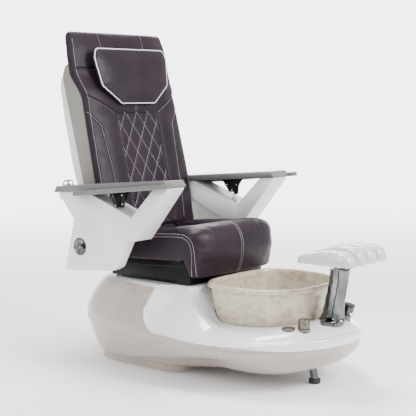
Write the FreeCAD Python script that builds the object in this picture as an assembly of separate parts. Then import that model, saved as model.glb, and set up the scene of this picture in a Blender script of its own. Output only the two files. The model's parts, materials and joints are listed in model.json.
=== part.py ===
"""Pedicure spa chair: a reclining massage chair on a moulded foot spa base.

The chair faces -Y, +Z is up and X is across it.  Lengths are in millimetres.
Everything is modelled about the chair's own datum and moved by SHIFT_Y when it is written,
so that the origin lies on the floor under the middle of the whole chair.
"""
import FreeCAD, Part
import math
import os

V = FreeCAD.Vector
SHIFT_Y = 59.6

# ---- driving dimensions -------------------------------------------------------------
# base plan: a superellipse, widest a little behind the middle
BASE_HALF_WIDTH = 425.0
BASE_FRONT, BASE_MIDDLE, BASE_REAR = -720.0, -150.0, 660.0
SEAM_Z = 182.0               # parting line of the two shells along the sides
SEAM_FRONT_RISE = 12.0
PEDESTAL_Z = 393.0           # top of the base under the seat
PEDESTAL_INSET = 105.0
DECK_EDGE_Z, DECK_FRONT_Z = 205.0, 235.0
SHELL = 6.0                  # thickness of the moulded shells
PLINTH_HALF_WIDTH, PLINTH_FRONT, PLINTH_REAR, PLINTH_Z = 275.0, -30.0, 540.0, 34.0
BELLY_RISE, NOSE_RISE = 75.0, 22.0   # the hull in front of the plinth, above its top

# foot basin
BASIN_HALF_WIDTH, BASIN_FRONT, BASIN_REAR = 278.0, -585.0, -112.0
BASIN_RIM_Z, BASIN_FLOOR_Z, BASIN_LIP = 422.0, 168.0, 24.0
OPENING_Z = 255.0            # the deck where it meets the basin
OPENING_GAP = 3.0            # between the deck and the basin wall

# seat unit
SEAT_HALF_WIDTH = 279.0
SEAT_FRONT = -165.0
TILT = math.radians(5.3)     # the seat and armrests rise towards the front
ARM_OUTER, ARM_INNER = 419.0, 312.0
LOWER_PANEL_OUTER, LOWER_PANEL_INNER = 414.0, 372.0

# backrest: local axes start at the recline pin, s runs up the back and n runs forward
PIVOT_Y, PIVOT_Z = 436.0, 536.0
LEAN = math.radians(13.0)
BACK_HALF_WIDTH = 304.0
BACK_TOP = 980.0

# footrest
COLUMN_Y = -640.0
PAD_HALF_WIDTH, PAD_FRONT, PAD_REAR = 156.0, -815.0, -555.0

# ---- places that several pieces share -----------------------------------------------
DRAIN_RADIUS, JET_RADIUS, JET_Z, JET_FACE_Y = 22.0, 41.0, 262.0, -176.0
FOOT_Y, SPINE_Z = -554.0, 98.0
LEG = [(-545, SPINE_Z), (-523, SPINE_Z), (FOOT_Y + 11, 20), (FOOT_Y - 11, 20)]
FLANGE_Z, FLANGE_TOP, TRIM_RADIUS, SOCKET_RADIUS = 260.0, 285.0, 27.0, 23.0
COLUMN_SECTIONS = [(285, -640, 50, 30), (340, -647, 46, 27), (430, -664, 43, 26), (498, -674, 43, 30)]
COLUMN_TOP_Z, HINGE_Y, HINGE_Z, PAD_UNDER_Z = 498.0, -674.0, 515.0, 532.0
KNOB, BUTTON = (-158.0, -606.0, 267.0), (-196.0, -556.0, 265.0)
SHOWER_BASE = (104.0, -634.0, 262.0)
SHOWER_AXIS = V(0.12, -0.22, 0.97).normalize()
RAIL_BOX_FRONT, RAIL_BOX_REAR = -76.0, 395.0
SHAFT_RADIUS, ARM_PANEL_EDGE, DISC_RADIUS = 15.0, 404.0, 40.0
TRAY = [(-129, 850), (431, 786), (431, 766), (-129, 830)]
TRAY_HINGE, TRAY_OUTER, TRAY_EDGE_RADIUS = 437.0, 471.0, 9.9

PARTS = {}


def keep(node, *shapes):
    """Write down one node, as one solid or a group of separate solids."""
    solids = [solid for shape in shapes for solid in shape.Solids]
    PARTS[node] = solids[0] if len(solids) == 1 else Part.makeCompound(solids)


def box(x, y, z):
    """A box between three pairs of limits."""
    return Part.makeBox(x[1] - x[0], y[1] - y[0], z[1] - z[0], V(x[0], y[0], z[0]))


def cylinder(radius, start, end):
    axis = V(*end) - V(*start)
    return Part.makeCylinder(radius, axis.Length, V(*start), axis)


def tube(outer, inner, start, end):
    return cylinder(outer, start, end).cut(cylinder(inner, start, end))


def prism_x(points, x_low, x_high):
    """A polygon of (y, z) points, extruded across the chair."""
    corners = [V(x_low, y, z) for y, z in points]
    face = Part.Face(Part.makePolygon(corners + corners[:1]))
    return face.extrude(V(x_high - x_low, 0, 0))


def mirror(shape):
    return shape.mirror(V(0, 0, 0), V(1, 0, 0))


def rounded(shape, radius, chosen):
    """Round the edges that chosen(edge) picks."""
    return shape.makeFillet(radius, [edge for edge in shape.Edges if chosen(edge)])


def runs_along(axis):
    """Pick the straight edges that lie along one axis."""
    def test(edge):
        if not isinstance(edge.Curve, (Part.Line, Part.LineSegment)):
            return False
        direction = edge.Vertexes[-1].Point - edge.Vertexes[0].Point
        return abs(direction.normalize().dot(axis)) > 0.999
    return test


def any_edge(edge):
    return True


def smooth_step(value):
    """Smooth 0 to 1."""
    value = min(1.0, max(0.0, value))
    return value * value * (3 - 2 * value)


# ---- base surfaces ------------------------------------------------------------------
RING_POINTS = 56
FRONT_POWER, REAR_POWER = 2.5, 3.4


def superellipse(turn, half_width, front, middle, rear, front_power, rear_power):
    """A point of a closed plan curve; turn runs from 0 at +X to 1."""
    angle = 2 * math.pi * turn
    cosine, sine = math.cos(angle), math.sin(angle)
    power, depth = (rear_power, rear - middle) if sine > 0 else (front_power, middle - front)
    x = half_width * math.copysign(abs(cosine) ** (2 / power), cosine)
    y = middle + depth * math.copysign(abs(sine) ** (2 / power), sine)
    return x, y


def base_outline(turn, inset):
    return superellipse(turn, BASE_HALF_WIDTH - inset, BASE_FRONT + inset, BASE_MIDDLE,
                        BASE_REAR - inset, 2.1, 2.5)


def even_turns():
    """Turns spaced evenly along the base outline, starting beside the middle of the rear."""
    steps = [0.25 + index / 4000 for index in range(4001)]
    points = [V(*base_outline(step, 0), 0) for step in steps]
    travelled = [0.0]
    for here, there in zip(points, points[1:]):
        travelled.append(travelled[-1] + (there - here).Length)
    wanted = [travelled[-1] * (index + 0.5) / RING_POINTS for index in range(RING_POINTS)]
    return [next(step for step, length in zip(steps, travelled) if length >= goal) for goal in wanted]


TURNS = even_turns()


def closed_curve(points):
    curve = Part.BSplineCurve()
    curve.interpolate([V(*point) for point in points], PeriodicFlag=True)
    return Part.Wire(curve.toShape())


def ring_solid(rings):
    """A closed wall whose section runs through the rings and back to the first one."""
    wires = [closed_curve(ring) for ring in rings]
    ruled = [Part.makeRuledSurface(low, high) for low, high in zip(wires, wires[1:] + wires[:1])]
    shell = Part.makeShell([face for surface in ruled for face in surface.Faces])
    shell.sewShape()
    solid = Part.makeSolid(Part.Shell(shell.Faces))
    return solid if solid.Volume > 0 else solid.reversed()


def filled(rings):
    """A solid stack of level rings."""
    return Part.makeLoft([closed_curve(ring) for ring in rings], True, True)


def seam_height(y):
    forward = max(0.0, (-250.0 - y) / 470.0)
    return SEAM_Z + SEAM_FRONT_RISE * forward ** 1.5


def nose_share(y):
    """0 along the sides of the base, 1 round its nose."""
    return smooth_step((-350.0 - y) / 300.0)


def wall_inset(z, y_seam):
    """The outer wall leans in towards the top of the pedestal, and less round the nose."""
    lean = (max(0.0, z - SEAM_Z) / (PEDESTAL_Z - SEAM_Z)) ** 2.24
    return PEDESTAL_INSET * lean * (1 - 0.6 * nose_share(y_seam))


def pedestal_share(x, y):
    """1 on top of the pedestal, falling in a hollow sweep to 0 out on the deck."""
    half_width = 262.0 + 90.0 * smooth_step((y + 30.0) / 140.0)
    out_x, out_y = max(0.0, abs(x) - half_width + 40.0), max(0.0, -72.0 - y)
    away = max(0.0, math.hypot(out_x, out_y) - 40.0)
    reach = 130.0 + 80.0 * smooth_step((abs(x) - 230.0) / 90.0)
    return max(0.0, 1 - away / reach) ** 2


def deck_height(cross, y_seam, x, y):
    """Top of the upper shell; cross runs from 0 at the outer crease to 1 at the basin."""
    nose = nose_share(y_seam)
    edge = DECK_EDGE_Z + (DECK_FRONT_Z - DECK_EDGE_Z) * max(0.0, (-300 - y_seam) / 420) ** 1.3
    lip = OPENING_Z + 12.0 * min(1.0, max(0.0, (-330 - y) / 200))
    deck = edge + (lip - edge) * (1 - (1 - cross) ** (1.6 + 1.2 * nose))
    deck += 20 * nose * (4 * cross * (1 - cross)) ** 0.6 * math.exp(-(x / 165) ** 2)
    return deck + (PEDESTAL_Z - deck) * pedestal_share(x, y)


def lip_point(turn):
    """Edge of the shell round the basin, just clear of the basin wall at its height."""
    y_seam = base_outline(turn, 0)[1]
    z = OPENING_Z
    for _ in range(12):
        x, y = basin_outline(turn, basin_inset(z) - OPENING_GAP)
        z = (z + deck_height(1, y_seam, x, y)) / 2
    return x, y


def crease_height(turn):
    """Height at which the outer wall meets the deck."""
    y_seam = base_outline(turn, 0)[1]
    low, high = seam_height(y_seam), PEDESTAL_Z
    for _ in range(30):
        middle = (low + high) / 2
        x, y = base_outline(turn, wall_inset(middle, y_seam))
        if deck_height(0, y_seam, x, y) > middle:
            low = middle
        else:
            high = middle
    return low


def upper_ring(level, drop):
    """One ring of the upper shell, sunk by drop into the shell.

    level 0 to 1 climbs the outer wall from the seam to the crease, and 1 to 2 crosses the
    deck from the crease to the lip round the basin.  The drop grows where the deck is steep.
    """
    points = []
    for turn in TURNS:
        y_seam = base_outline(turn, 0)[1]
        low, crease = seam_height(y_seam), crease_height(turn)
        if level <= 1:
            z = low + (crease - drop - low) * level
            x, y = base_outline(turn, wall_inset(z, y_seam) + drop)
        else:
            x_edge, y_edge = base_outline(turn, wall_inset(crease, y_seam) + 14)
            x_lip, y_lip = lip_point(turn)
            cross = level - 1
            x, y = x_edge + (x_lip - x_edge) * cross, y_edge + (y_lip - y_edge) * cross
            share = pedestal_share(x, y)
            z = deck_height(cross, y_seam, x, y) - drop * (1 + 6 * share * (1 - share))
        points.append((x, y, z))
    return points


def make_upper_shell():
    levels = [0, 0.3, 0.6, 0.85, 1, 1.01, 1.15, 1.3, 1.45, 1.6, 1.75, 1.88, 1.96, 2]
    outer = [upper_ring(level, 0) for level in levels]
    inner = [upper_ring(level, SHELL) for level in reversed(levels)]
    shell = ring_solid(outer + inner)
    for x, y, z in (KNOB, BUTTON):
        shell = shell.cut(cylinder(TRIM_RADIUS, (x, y, z - 40), (x, y, z + 40)))
    return shell.cut(shower_hole(SOCKET_RADIUS)).cut(leaf(FLANGE_Z - 20, FLANGE_Z + 30))


def plinth_outline(turn, inset):
    return superellipse(turn, PLINTH_HALF_WIDTH - inset, PLINTH_FRONT + inset, 250.0,
                        PLINTH_REAR - inset, 6.0, 3.5)


def lower_ring(cross, inset):
    """One ring of the hull, from the seam (cross 0) to the top of the plinth (cross 1).

    The rear slants down to the plinth; the front is a round belly that ramps down to it.
    """
    points = []
    for turn in TURNS:
        x_seam, y_seam = base_outline(turn, 5 + inset)
        x_foot, y_foot = plinth_outline(turn, inset)
        forward = smooth_step((100 - y_seam) / 450)
        nose = smooth_step((-400 - y_seam) / 280)
        top = seam_height(base_outline(turn, 0)[1])
        low = PLINTH_Z + inset
        rise = BELLY_RISE + (NOSE_RISE - BELLY_RISE) * nose
        belly = low + forward * rise * smooth_step((1 - cross) / 0.45)
        round_off = 1 - min(1.0, cross / (0.80 - 0.36 * nose))
        front = belly + (top - belly) * (1 - (1 - round_off ** 2.2) ** (1 / 2.2))
        rear = low + (top - low) * (1 - cross) ** 1.8
        x, y = x_seam + (x_foot - x_seam) * cross, y_seam + (y_foot - y_seam) * cross
        points.append((x, y, rear + (front - rear) * forward))
    return points


def plinth_ring(z, inset):
    return [(*plinth_outline(turn, inset), z) for turn in TURNS]


def make_lower_shell():
    crossings = [0, 0.02, 0.06, 0.14, 0.25, 0.38, 0.52, 0.68, 0.84, 1]
    outer = [lower_ring(cross, 0) for cross in crossings] + [plinth_ring(0, 0)]
    inner = [lower_ring(cross, SHELL) for cross in reversed(crossings)]
    shell = ring_solid(outer + [plinth_ring(0, SHELL)] + inner)
    leg_slot = prism_x([(-548, 104), (-520, 104), (FOOT_Y + 14, 20), (FOOT_Y - 14, 20)], -19, 19)
    service_opening = box((-112, -18), (560, 720), (106, 154))
    return shell.cut(leg_slot).cut(service_opening)


def basin_outline(turn, inset):
    return superellipse(turn, BASIN_HALF_WIDTH - inset, BASIN_FRONT + inset, -330.0,
                        BASIN_REAR - inset, FRONT_POWER, REAR_POWER)


def basin_ring(z, inset):
    return [(*basin_outline(turn, inset), z) for turn in TURNS]


def basin_inset(z):
    """How far the basin wall stands inside the rim at one height."""
    under_lip = BASIN_RIM_Z - BASIN_LIP
    depth = max(0.0, under_lip - z) / (under_lip - BASIN_FLOOR_Z)
    return 14.0 + 62.0 * depth ** 1.7


def basin_hollow():
    heights = [BASIN_FLOOR_Z, 180.0, 205.0, 250.0, 320.0]
    rings = [basin_ring(z + SHELL, basin_inset(z) + SHELL) for z in heights]
    neck = basin_inset(BASIN_RIM_Z) + SHELL
    return filled(rings + [basin_ring(BASIN_RIM_Z - BASIN_LIP, neck), basin_ring(BASIN_RIM_Z + 1, neck)])


def make_basin():
    lip_z = BASIN_RIM_Z - BASIN_LIP
    heights = [BASIN_FLOOR_Z, 180.0, 205.0, 250.0, 320.0, lip_z]
    body = filled([basin_ring(z, basin_inset(z)) for z in heights])
    lip = filled([basin_ring(lip_z, 0), basin_ring(BASIN_RIM_Z - 5, 0), basin_ring(BASIN_RIM_Z, 4)])
    drain = cylinder(DRAIN_RADIUS, (0, -330, BASIN_FLOOR_Z - 5), (0, -330, BASIN_FLOOR_Z + 20))
    jet = cylinder(JET_RADIUS, (0, -220, JET_Z), (0, -100, JET_Z))
    return body.fuse(lip).cut(basin_hollow()).cut(drain).cut(jet)


# ---- inside the base ----------------------------------------------------------------
def make_base_frame():
    """Welded square tube: runners on a floor plate, rail posts, a spine to the leg and column."""
    runners = [box((x, x + 30), (-60, 500), (64, 94)) for x in (-215, 185)]
    plate = box((-215, 215), (80, 450), (6, 10))
    posts = [box((x, x + 30), (y, y + 30), (10, 64)) for x in (-215, 185) for y in (90, 420)]
    crosses = [box((-185, 185), (y, y + 30), (64, 94)) for y in (-60, 200, 470)]
    uprights = [box((x, x + 30), (y, y + 30), (94, PEDESTAL_Z - 7)) for x in (-215, 185) for y in (0, 330)]
    spine = [box((-20, 20), (-605, -50), (SPINE_Z, SPINE_Z + 24)),
             box((-20, 20), (-60, -30), (94, SPINE_Z + 24))]
    stand = [box((-20, 20), (-605, -575), (SPINE_Z, 250)), box((-20, 20), (-660, -575), (250, FLANGE_Z))]
    return plate.fuse(runners + posts + crosses + uprights + spine + stand).removeSplitter()


def make_drain_pump():
    body = cylinder(48, (-60, 120, 150), (60, 120, 150))
    inlet = cylinder(16, (0, 80, 150), (0, 40, 150))
    outlet = cylinder(12, (30, 120, 190), (30, 120, 240))
    return body.fuse([inlet, outlet, box((-50, 50), (85, 155), (94.2, 106))])


def make_drain_hose():
    """A straight run from the elbow under the drain to the pump inlet."""
    return tube(16, 13, (0, -306, 150), (0, 40, 150))


def make_drain():
    flange = cylinder(30, (0, -330, BASIN_FLOOR_Z + SHELL), (0, -330, BASIN_FLOOR_Z + SHELL + 4))
    tail = cylinder(DRAIN_RADIUS, (0, -330, 132), (0, -330, BASIN_FLOOR_Z + SHELL))
    strainer = flange.fuse([tail, cylinder(16, (0, -330, 150), (0, -306, 150))])
    for step in range(6):
        angle = step * math.pi / 3
        x, y = 12 * math.cos(angle), -330 + 12 * math.sin(angle)
        strainer = strainer.cut(cylinder(3.5, (x, y, BASIN_FLOOR_Z - 8), (x, y, BASIN_FLOOR_Z + 12)))
    return strainer


def make_jet_housing():
    """A flanged cup through the back wall of the basin, open towards the feet."""
    flange = cylinder(52, (0, -200, JET_Z), (0, -130, JET_Z)).common(basin_hollow())
    flange = flange.cut(box((-60, 60), (-260, JET_FACE_Y), (JET_Z - 60, JET_Z + 60)))
    cup = cylinder(JET_RADIUS, (0, JET_FACE_Y, JET_Z), (0, -100, JET_Z))
    bore = cylinder(JET_RADIUS - 5, (0, JET_FACE_Y - 1, JET_Z), (0, -108, JET_Z))
    shaft_hole = cylinder(4.05, (0, -110, JET_Z), (0, -99, JET_Z))
    return flange.fuse(cup).cut(bore).cut(shaft_hole)


def make_jet_impeller():
    hub = cylinder(9, (0, -140, JET_Z), (0, -118, JET_Z))
    shaft = cylinder(4, (0, -118, JET_Z), (0, -90.5, JET_Z))
    blades = []
    for step in range(5):
        blade = box((6, 32), (-136, -122), (JET_Z - 1.2, JET_Z + 1.2))
        blade.rotate(V(19, -129, JET_Z), V(1, 0, 0), 30)
        blade.rotate(V(0, 0, JET_Z), V(0, 1, 0), 72 * step)
        blades.append(blade)
    return hub.fuse([shaft] + blades)


def make_jet_motor():
    body = cylinder(34, (0, -99.9, JET_Z), (0, -20, JET_Z))
    return body.cut(cylinder(4.05, (0, -101, JET_Z), (0, -89.9, JET_Z)))


def make_control_box():
    case = rounded(box((60, 170), (250, 410), (94.2, 190)), 8, any_edge)
    glands = [tube(9, 5, (x, 235, 150), (x, 250, 150)) for x in (85, 115, 145)]
    return case.fuse(glands)


def make_water_inlets():
    """Hot and cold threaded inlets with their valve bodies, behind the plinth."""
    inlets = []
    for x in (-90, -40):
        valve = box((x - 14, x + 14), (470.2, 505), (110, 150))
        inlets.append(valve.fuse(tube(10, 7, (x, 505, 130), (x, 520, 130))))
    return inlets


def make_levelling_feet():
    """Rubber pads under the floor plate at its corners."""
    return [cylinder(18, (x, y, 0), (x, y, 6)) for x in (-150, 150) for y in (100, 440)]


def make_front_leg():
    """A flat chrome bar that slants forward and carries the nose of the base."""
    return rounded(prism_x(LEG, -16, 16), 3, lambda edge: abs(edge.BoundBox.ZLength - SPINE_Z + 20) < 1)


def make_front_foot():
    return rounded(cylinder(25, (0, FOOT_Y, 0), (0, FOOT_Y, 20)), 3, any_edge)


# ---- on the deck --------------------------------------------------------------------
def leaf(low, high):
    """A pointed leaf across the deck at the foot of the column."""
    front, rear = COLUMN_Y - 52, COLUMN_Y + 52
    front_disc = cylinder(95, (0, front, low), (0, front, high))
    return front_disc.common(cylinder(95, (0, rear, low), (0, rear, high)))


def shower_hole(radius):
    base = V(*SHOWER_BASE)
    return cylinder(radius, base - SHOWER_AXIS * 30, base + SHOWER_AXIS * 45)


def make_column_flange():
    """The leaf-shaped chrome plate let into the deck under the footrest column."""
    return leaf(FLANGE_Z, FLANGE_TOP)


def make_column():
    """The curved chrome column: a lens section swept up and forward, with a groove down it."""
    sections = []
    for height, y, along, across in COLUMN_SECTIONS:
        points = []
        for turn in TURNS:
            x, y_point = superellipse(turn, across, -along, 0.0, along, 2.2, 2.2)
            points.append((x, y + y_point, height))
        sections.append(closed_curve(points))
    return Part.makeLoft(sections, True, False)


def make_footrest_bracket():
    """Two rounded cheeks on the head of the column, with the tilt pin through them."""
    head = box((-34, 34), (HINGE_Y - 30, HINGE_Y + 30), (COLUMN_TOP_Z, COLUMN_TOP_Z + 6))
    cheeks = []
    for x in (-34, 28):
        cheeks.append(box((x, x + 6), (HINGE_Y - 9, HINGE_Y + 9), (COLUMN_TOP_Z + 6, HINGE_Z)))
        cheeks.append(cylinder(9, (x, HINGE_Y, HINGE_Z), (x + 6, HINGE_Y, HINGE_Z)))
    pin = cylinder(5, (-37, HINGE_Y, HINGE_Z), (37, HINGE_Y, HINGE_Z))
    return head.fuse(cheeks + [pin])


def make_footrest_pivot():
    """The plate under the pads, with the lug that turns on the tilt pin."""
    plate = box((-90, 90), (-745, -615), (PAD_UNDER_Z - 6, PAD_UNDER_Z))
    lug = box((-27, 27), (HINGE_Y - 10, HINGE_Y + 10), (HINGE_Z, PAD_UNDER_Z - 6))
    knuckle = cylinder(10, (-27, HINGE_Y, HINGE_Z), (27, HINGE_Y, HINGE_Z))
    pivot = plate.fuse([lug, knuckle])
    return pivot.cut(cylinder(5.05, (-40, HINGE_Y, HINGE_Z), (40, HINGE_Y, HINGE_Z)))


def make_footrest_pads():
    """Four moulded lobes side by side on one base, rounded over at both ends."""
    lobe = PAD_HALF_WIDTH / 2
    profile = [(PAD_REAR, 16), (PAD_REAR + 20, 36), (-700, 67), (-768, 65), (PAD_FRONT, 36),
               (PAD_FRONT, 12), (PAD_FRONT + 12, 0), (PAD_REAR + 20, 0)]
    pads = []
    for count in range(4):
        low = -PAD_HALF_WIDTH + count * lobe
        block = prism_x([(y, PAD_UNDER_Z + z) for y, z in profile], low, low + lobe)
        crown = cylinder(lobe * 0.78, (low + lobe / 2, -900, PAD_UNDER_Z + 18),
                         (low + lobe / 2, -500, PAD_UNDER_Z + 18))
        block = block.common(crown.fuse(box((low, low + lobe), (-900, -500),
                                            (PAD_UNDER_Z - 1, PAD_UNDER_Z + 30))))
        pads.append(block)
    return pads[0].fuse(pads[1:])


def make_mixer_knob():
    x, y, z = KNOB
    cap = rounded(cylinder(24, (x, y, z + 3), (x, y, z + 41)), 3, any_edge)
    return cap.fuse(cylinder(8, (x, y, z - 20), (x, y, z + 4)))


def make_knob_collar():
    x, y, z = KNOB
    return tube(TRIM_RADIUS, 8.05, (x, y, z - 12), (x, y, z + 2.5))


def make_air_button():
    x, y, z = BUTTON
    return rounded(cylinder(17, (x, y, z - 8), (x, y, z + 8)), 2, any_edge)


def make_button_bezel():
    x, y, z = BUTTON
    return tube(TRIM_RADIUS, 17.4, (x, y, z - 14), (x, y, z + 5))


def make_shower_socket():
    base = V(*SHOWER_BASE)
    top = base + SHOWER_AXIS * 26
    return tube(SOCKET_RADIUS, 15.5, base, top)


def make_hand_shower():
    """A chrome hand shower standing in its socket, with a rubber-edged head."""
    base = V(*SHOWER_BASE) + SHOWER_AXIS * 4
    neck, head, top = (base + SHOWER_AXIS * step for step in (34, 38, 72))
    return cylinder(15, base, neck).fuse([cylinder(12, neck, head), cylinder(25, head, top)])


# ---- seat base ----------------------------------------------------------------------
def make_rail_box():
    """The black open-topped box that hides the seat rails."""
    outer = [(RAIL_BOX_FRONT, 397.2), (RAIL_BOX_REAR, 397.2), (RAIL_BOX_REAR, 472), (-20, 499),
             (-50, 494), (RAIL_BOX_FRONT, 450)]
    shell = prism_x(outer, -252, 252)
    inner = prism_x([(RAIL_BOX_FRONT + 3, 400), (RAIL_BOX_REAR - 3, 400), (RAIL_BOX_REAR - 3, 520),
                     (RAIL_BOX_FRONT + 3, 520)], -249, 249)
    return shell.cut(inner)


def make_fixed_rails():
    rails = []
    for x in (-200, 160):
        outer = box((x, x + 40), (-60, 380), (400, 424))
        rails.append(outer.cut(box((x + 4, x + 36), (-61, 381), (404, 425))))
    return rails


def make_moving_rails():
    """Rail bars that run inside the fixed channels, joined to the pan by posts."""
    rails = []
    for x in (-195.5, 164.5):
        bar = box((x, x + 31), (40, 350), (404.5, 430))
        posts = [box((x + 8, x + 23), (y, y + 30), (430, 506)) for y in (60, 300)]
        rails.append(bar.fuse(posts))
    return rails


def make_slide_motor():
    body = rounded(box((-45, 45), (250, 380), (400.2, 455)), 6, runs_along(V(0, 1, 0)))
    return body.cut(cylinder(7.05, (0, 240, 428), (0, 390, 428)))


def make_slide_spindle():
    spindle = cylinder(7, (0, 70, 428), (0, 370, 428))
    return spindle.fuse(box((-15, 15), (60, 90), (415, 506)))


def make_seat_pan():
    """Plywood pan under the cushion."""
    return box((-252, 252), (-78, 398), (506, 518))


def make_cross_tube():
    """The steel bar behind the pan that carries both arm frames."""
    return box((-LOWER_PANEL_INNER, LOWER_PANEL_INNER), (398, 418), (501, 518))


def make_pivot_shaft():
    return cylinder(SHAFT_RADIUS, (-ARM_PANEL_EDGE, PIVOT_Y, PIVOT_Z), (ARM_PANEL_EDGE, PIVOT_Y, PIVOT_Z))


def make_recline_motor():
    """A tubular gear motor round the middle of the pivot shaft."""
    return tube(24, SHAFT_RADIUS, (-95, PIVOT_Y, PIVOT_Z), (95, PIVOT_Y, PIVOT_Z))


# ---- upholstered seat ---------------------------------------------------------------
def seat_top(y):
    """Top of the cushion, which rises towards the front."""
    return 644.0 - (y + 90) * math.tan(TILT) * 0.9


def make_seat_cushion():
    return prism_x([(-78, 518.2), (395, 518.2), (395, seat_top(395) - 22), (-78, seat_top(-78) - 14)],
                   -168, 168)


def make_bolster():
    """The left side bolster with the leather skirt that hangs over the rail box."""
    top = prism_x([(-78, 518.2), (395, 518.2), (395, seat_top(395)), (-78, seat_top(-78))], 168.4, 272)
    skirt = prism_x([(-78, 504), (-20, 504), (395, 478), (395, 520), (-78, 520)], 254, 272)
    bolster = top.fuse(skirt).removeSplitter()
    return rounded(bolster, 14, lambda edge: runs_along(V(0, 1, 0))(edge) is False
                   and edge.BoundBox.ZMin > 590 and edge.BoundBox.XMin > 271)


def make_front_roll():
    """The thick front of the seat, rounded over from the top down to the basin."""
    points = [(-78.4, 432), (-140, 430), (-158, 455), (SEAT_FRONT, 520), (-161, 590), (-138, 638),
              (-105, 657), (-78.4, 659)]
    return prism_x(points, -SEAT_HALF_WIDTH, SEAT_HALF_WIDTH)


# ---- arms ---------------------------------------------------------------------------
def arm_line(y):
    """Underside of the armrest."""
    return 828.0 - 0.0835 * (y + 105.0)


ARM_PANEL = [(568, arm_line(568)), (388, arm_line(388)), (112, 691), (-20, arm_line(-20)),
             (-102, arm_line(-102)), (91, 590), (121, 586), (552, 743)]
LOWER_PANEL = [(549, 741.5), (472, 657), (533, 419), (236, 447), (198, 464), (134, 580.5), (150, 596)]


def make_arm_panel():
    """The upper Y of the right arm frame, its two arms under the armrest."""
    return prism_x(ARM_PANEL, -ARM_OUTER, -ARM_INNER)


def make_lower_panel():
    panel = prism_x(LOWER_PANEL, -LOWER_PANEL_OUTER, -LOWER_PANEL_INNER)
    seat = cylinder(SHAFT_RADIUS + 0.01, (-ARM_PANEL_EDGE, PIVOT_Y, PIVOT_Z), (-300, PIVOT_Y, PIVOT_Z))
    cup = cylinder(DISC_RADIUS, (-LOWER_PANEL_OUTER - 5, PIVOT_Y, PIVOT_Z),
                   (-LOWER_PANEL_OUTER + 6, PIVOT_Y, PIVOT_Z))
    return panel.cut(seat).cut(cup)


def make_latch_disc():
    """The dished chrome disc over the end of the pivot shaft."""
    outer = -LOWER_PANEL_OUTER - 2
    disc = cylinder(DISC_RADIUS - 0.01, (outer, PIVOT_Y, PIVOT_Z), (-LOWER_PANEL_OUTER + 6, PIVOT_Y, PIVOT_Z))
    dish = cylinder(DISC_RADIUS - 6, (outer - 1, PIVOT_Y, PIVOT_Z), (outer + 4, PIVOT_Y, PIVOT_Z))
    return disc.cut(dish).cut(cylinder(5.05, (outer, PIVOT_Y, PIVOT_Z), (-400, PIVOT_Y, PIVOT_Z)))


def make_latch_lever():
    """A small turning tab in the middle of the disc."""
    outer = -LOWER_PANEL_OUTER - 2
    hub = cylinder(11, (outer - 4, PIVOT_Y, PIVOT_Z), (outer + 3.5, PIVOT_Y, PIVOT_Z))
    spindle = cylinder(5, (outer + 3.5, PIVOT_Y, PIVOT_Z), (outer + 7.5, PIVOT_Y, PIVOT_Z))
    tab = box((outer - 6, outer), (PIVOT_Y - 26, PIVOT_Y), (PIVOT_Z - 5, PIVOT_Z + 5))
    return hub.fuse([spindle, tab])


def make_armrest():
    profile = [(574, arm_line(574) + 29), (-84, arm_line(-84) + 30), (-105, arm_line(-105)),
               (590, arm_line(590))]
    return rounded(prism_x(profile, -425, -306), 3, runs_along(V(1, 0, 0)))


def make_side_tray():
    """A narrow drop-leaf shelf beside the armrest, with a round hinge edge."""
    board = prism_x(TRAY, -TRAY_OUTER, -TRAY_HINGE)
    lengthwise = runs_along(V(0, -560, 64).normalize())
    board = rounded(board, 4, lambda edge: lengthwise(edge) and edge.BoundBox.XMax < -TRAY_HINGE - 10)
    hinge_edge = cylinder(TRAY_EDGE_RADIUS, (-TRAY_HINGE, -129, 840), (-TRAY_HINGE, 431, 776))
    return board.fuse(hinge_edge)


def make_tray_bracket():
    """A folded black bracket under the armrest, with its bolts."""
    outer = prism_x([(135, arm_line(135)), (272, arm_line(272)), (223, 736), (187, 736)], -423, -380)
    inner = prism_x([(150, arm_line(150) + 1), (257, arm_line(257) + 1), (216, 741), (194, 741)],
                    -430, -370)
    flange = prism_x([(150, arm_line(150)), (257, arm_line(257)), (257, arm_line(257) - 4),
                      (150, arm_line(150) - 4)], -423, -380)
    bolts = [cylinder(5, (-426, y, z), (-423, y, z)) for y, z in ((205, 738.5), (262, 788))]
    return outer.cut(inner).fuse([flange] + bolts)


def make_remote_holder():
    """A small hoop for the remote control at the rear end of the right armrest."""
    top = arm_line(555) + 29
    hoop = tube(21, 18, (-385, 557, top + 4), (-345, 557, top + 4))
    hoop = hoop.common(box((-390, -340), (520, 590), (top + 3, top + 40)))
    return hoop.fuse(box((-385, -345), (536, 578), (top + 2, top + 5)))


# ---- backrest, in its own axes ------------------------------------------------------
def back_prism(points, x_low, x_high):
    """A polygon of (n, s) points, extruded across the chair."""
    return prism_x([(-n, s) for n, s in points], x_low, x_high)


def place_back(shape):
    """Lean the backrest and set it on the recline pin."""
    shape.rotate(V(0, 0, 0), V(1, 0, 0), -math.degrees(LEAN))
    shape.translate(V(0, PIVOT_Y, PIVOT_Z))
    return shape


def make_back_frame():
    posts = [box((x, x + 25), (-12, 12), (-18, 764)) for x in (-262, 237)]
    bars = [box((-237, 237), (-12, 12), (s, s + 24)) for s in (110, 740)]
    hubs = [cylinder(24, (x, 0, 0), (x + 25, 0, 0)) for x in (-262, 237)]
    frame = posts[0].fuse(posts[1:] + bars + hubs).removeSplitter()
    return frame.cut(cylinder(SHAFT_RADIUS + 0.05, (-300, 0, 0), (300, 0, 0)))


SIDE_SHELL = [(43, 24), (43, 668), (10, 790), (6, 842), (-30, 836), (-57, 795), (-59, 775),
              (-41, 290), (-38, -18), (30, -18)]
REAR_COVER = [(-42, 14), (-43, 290), (-60.5, 776), (-58, 800), (-80, 788), (-97, 735), (-107, 600),
              (-106, 400), (-96, 250), (-87, 14)]


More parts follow.
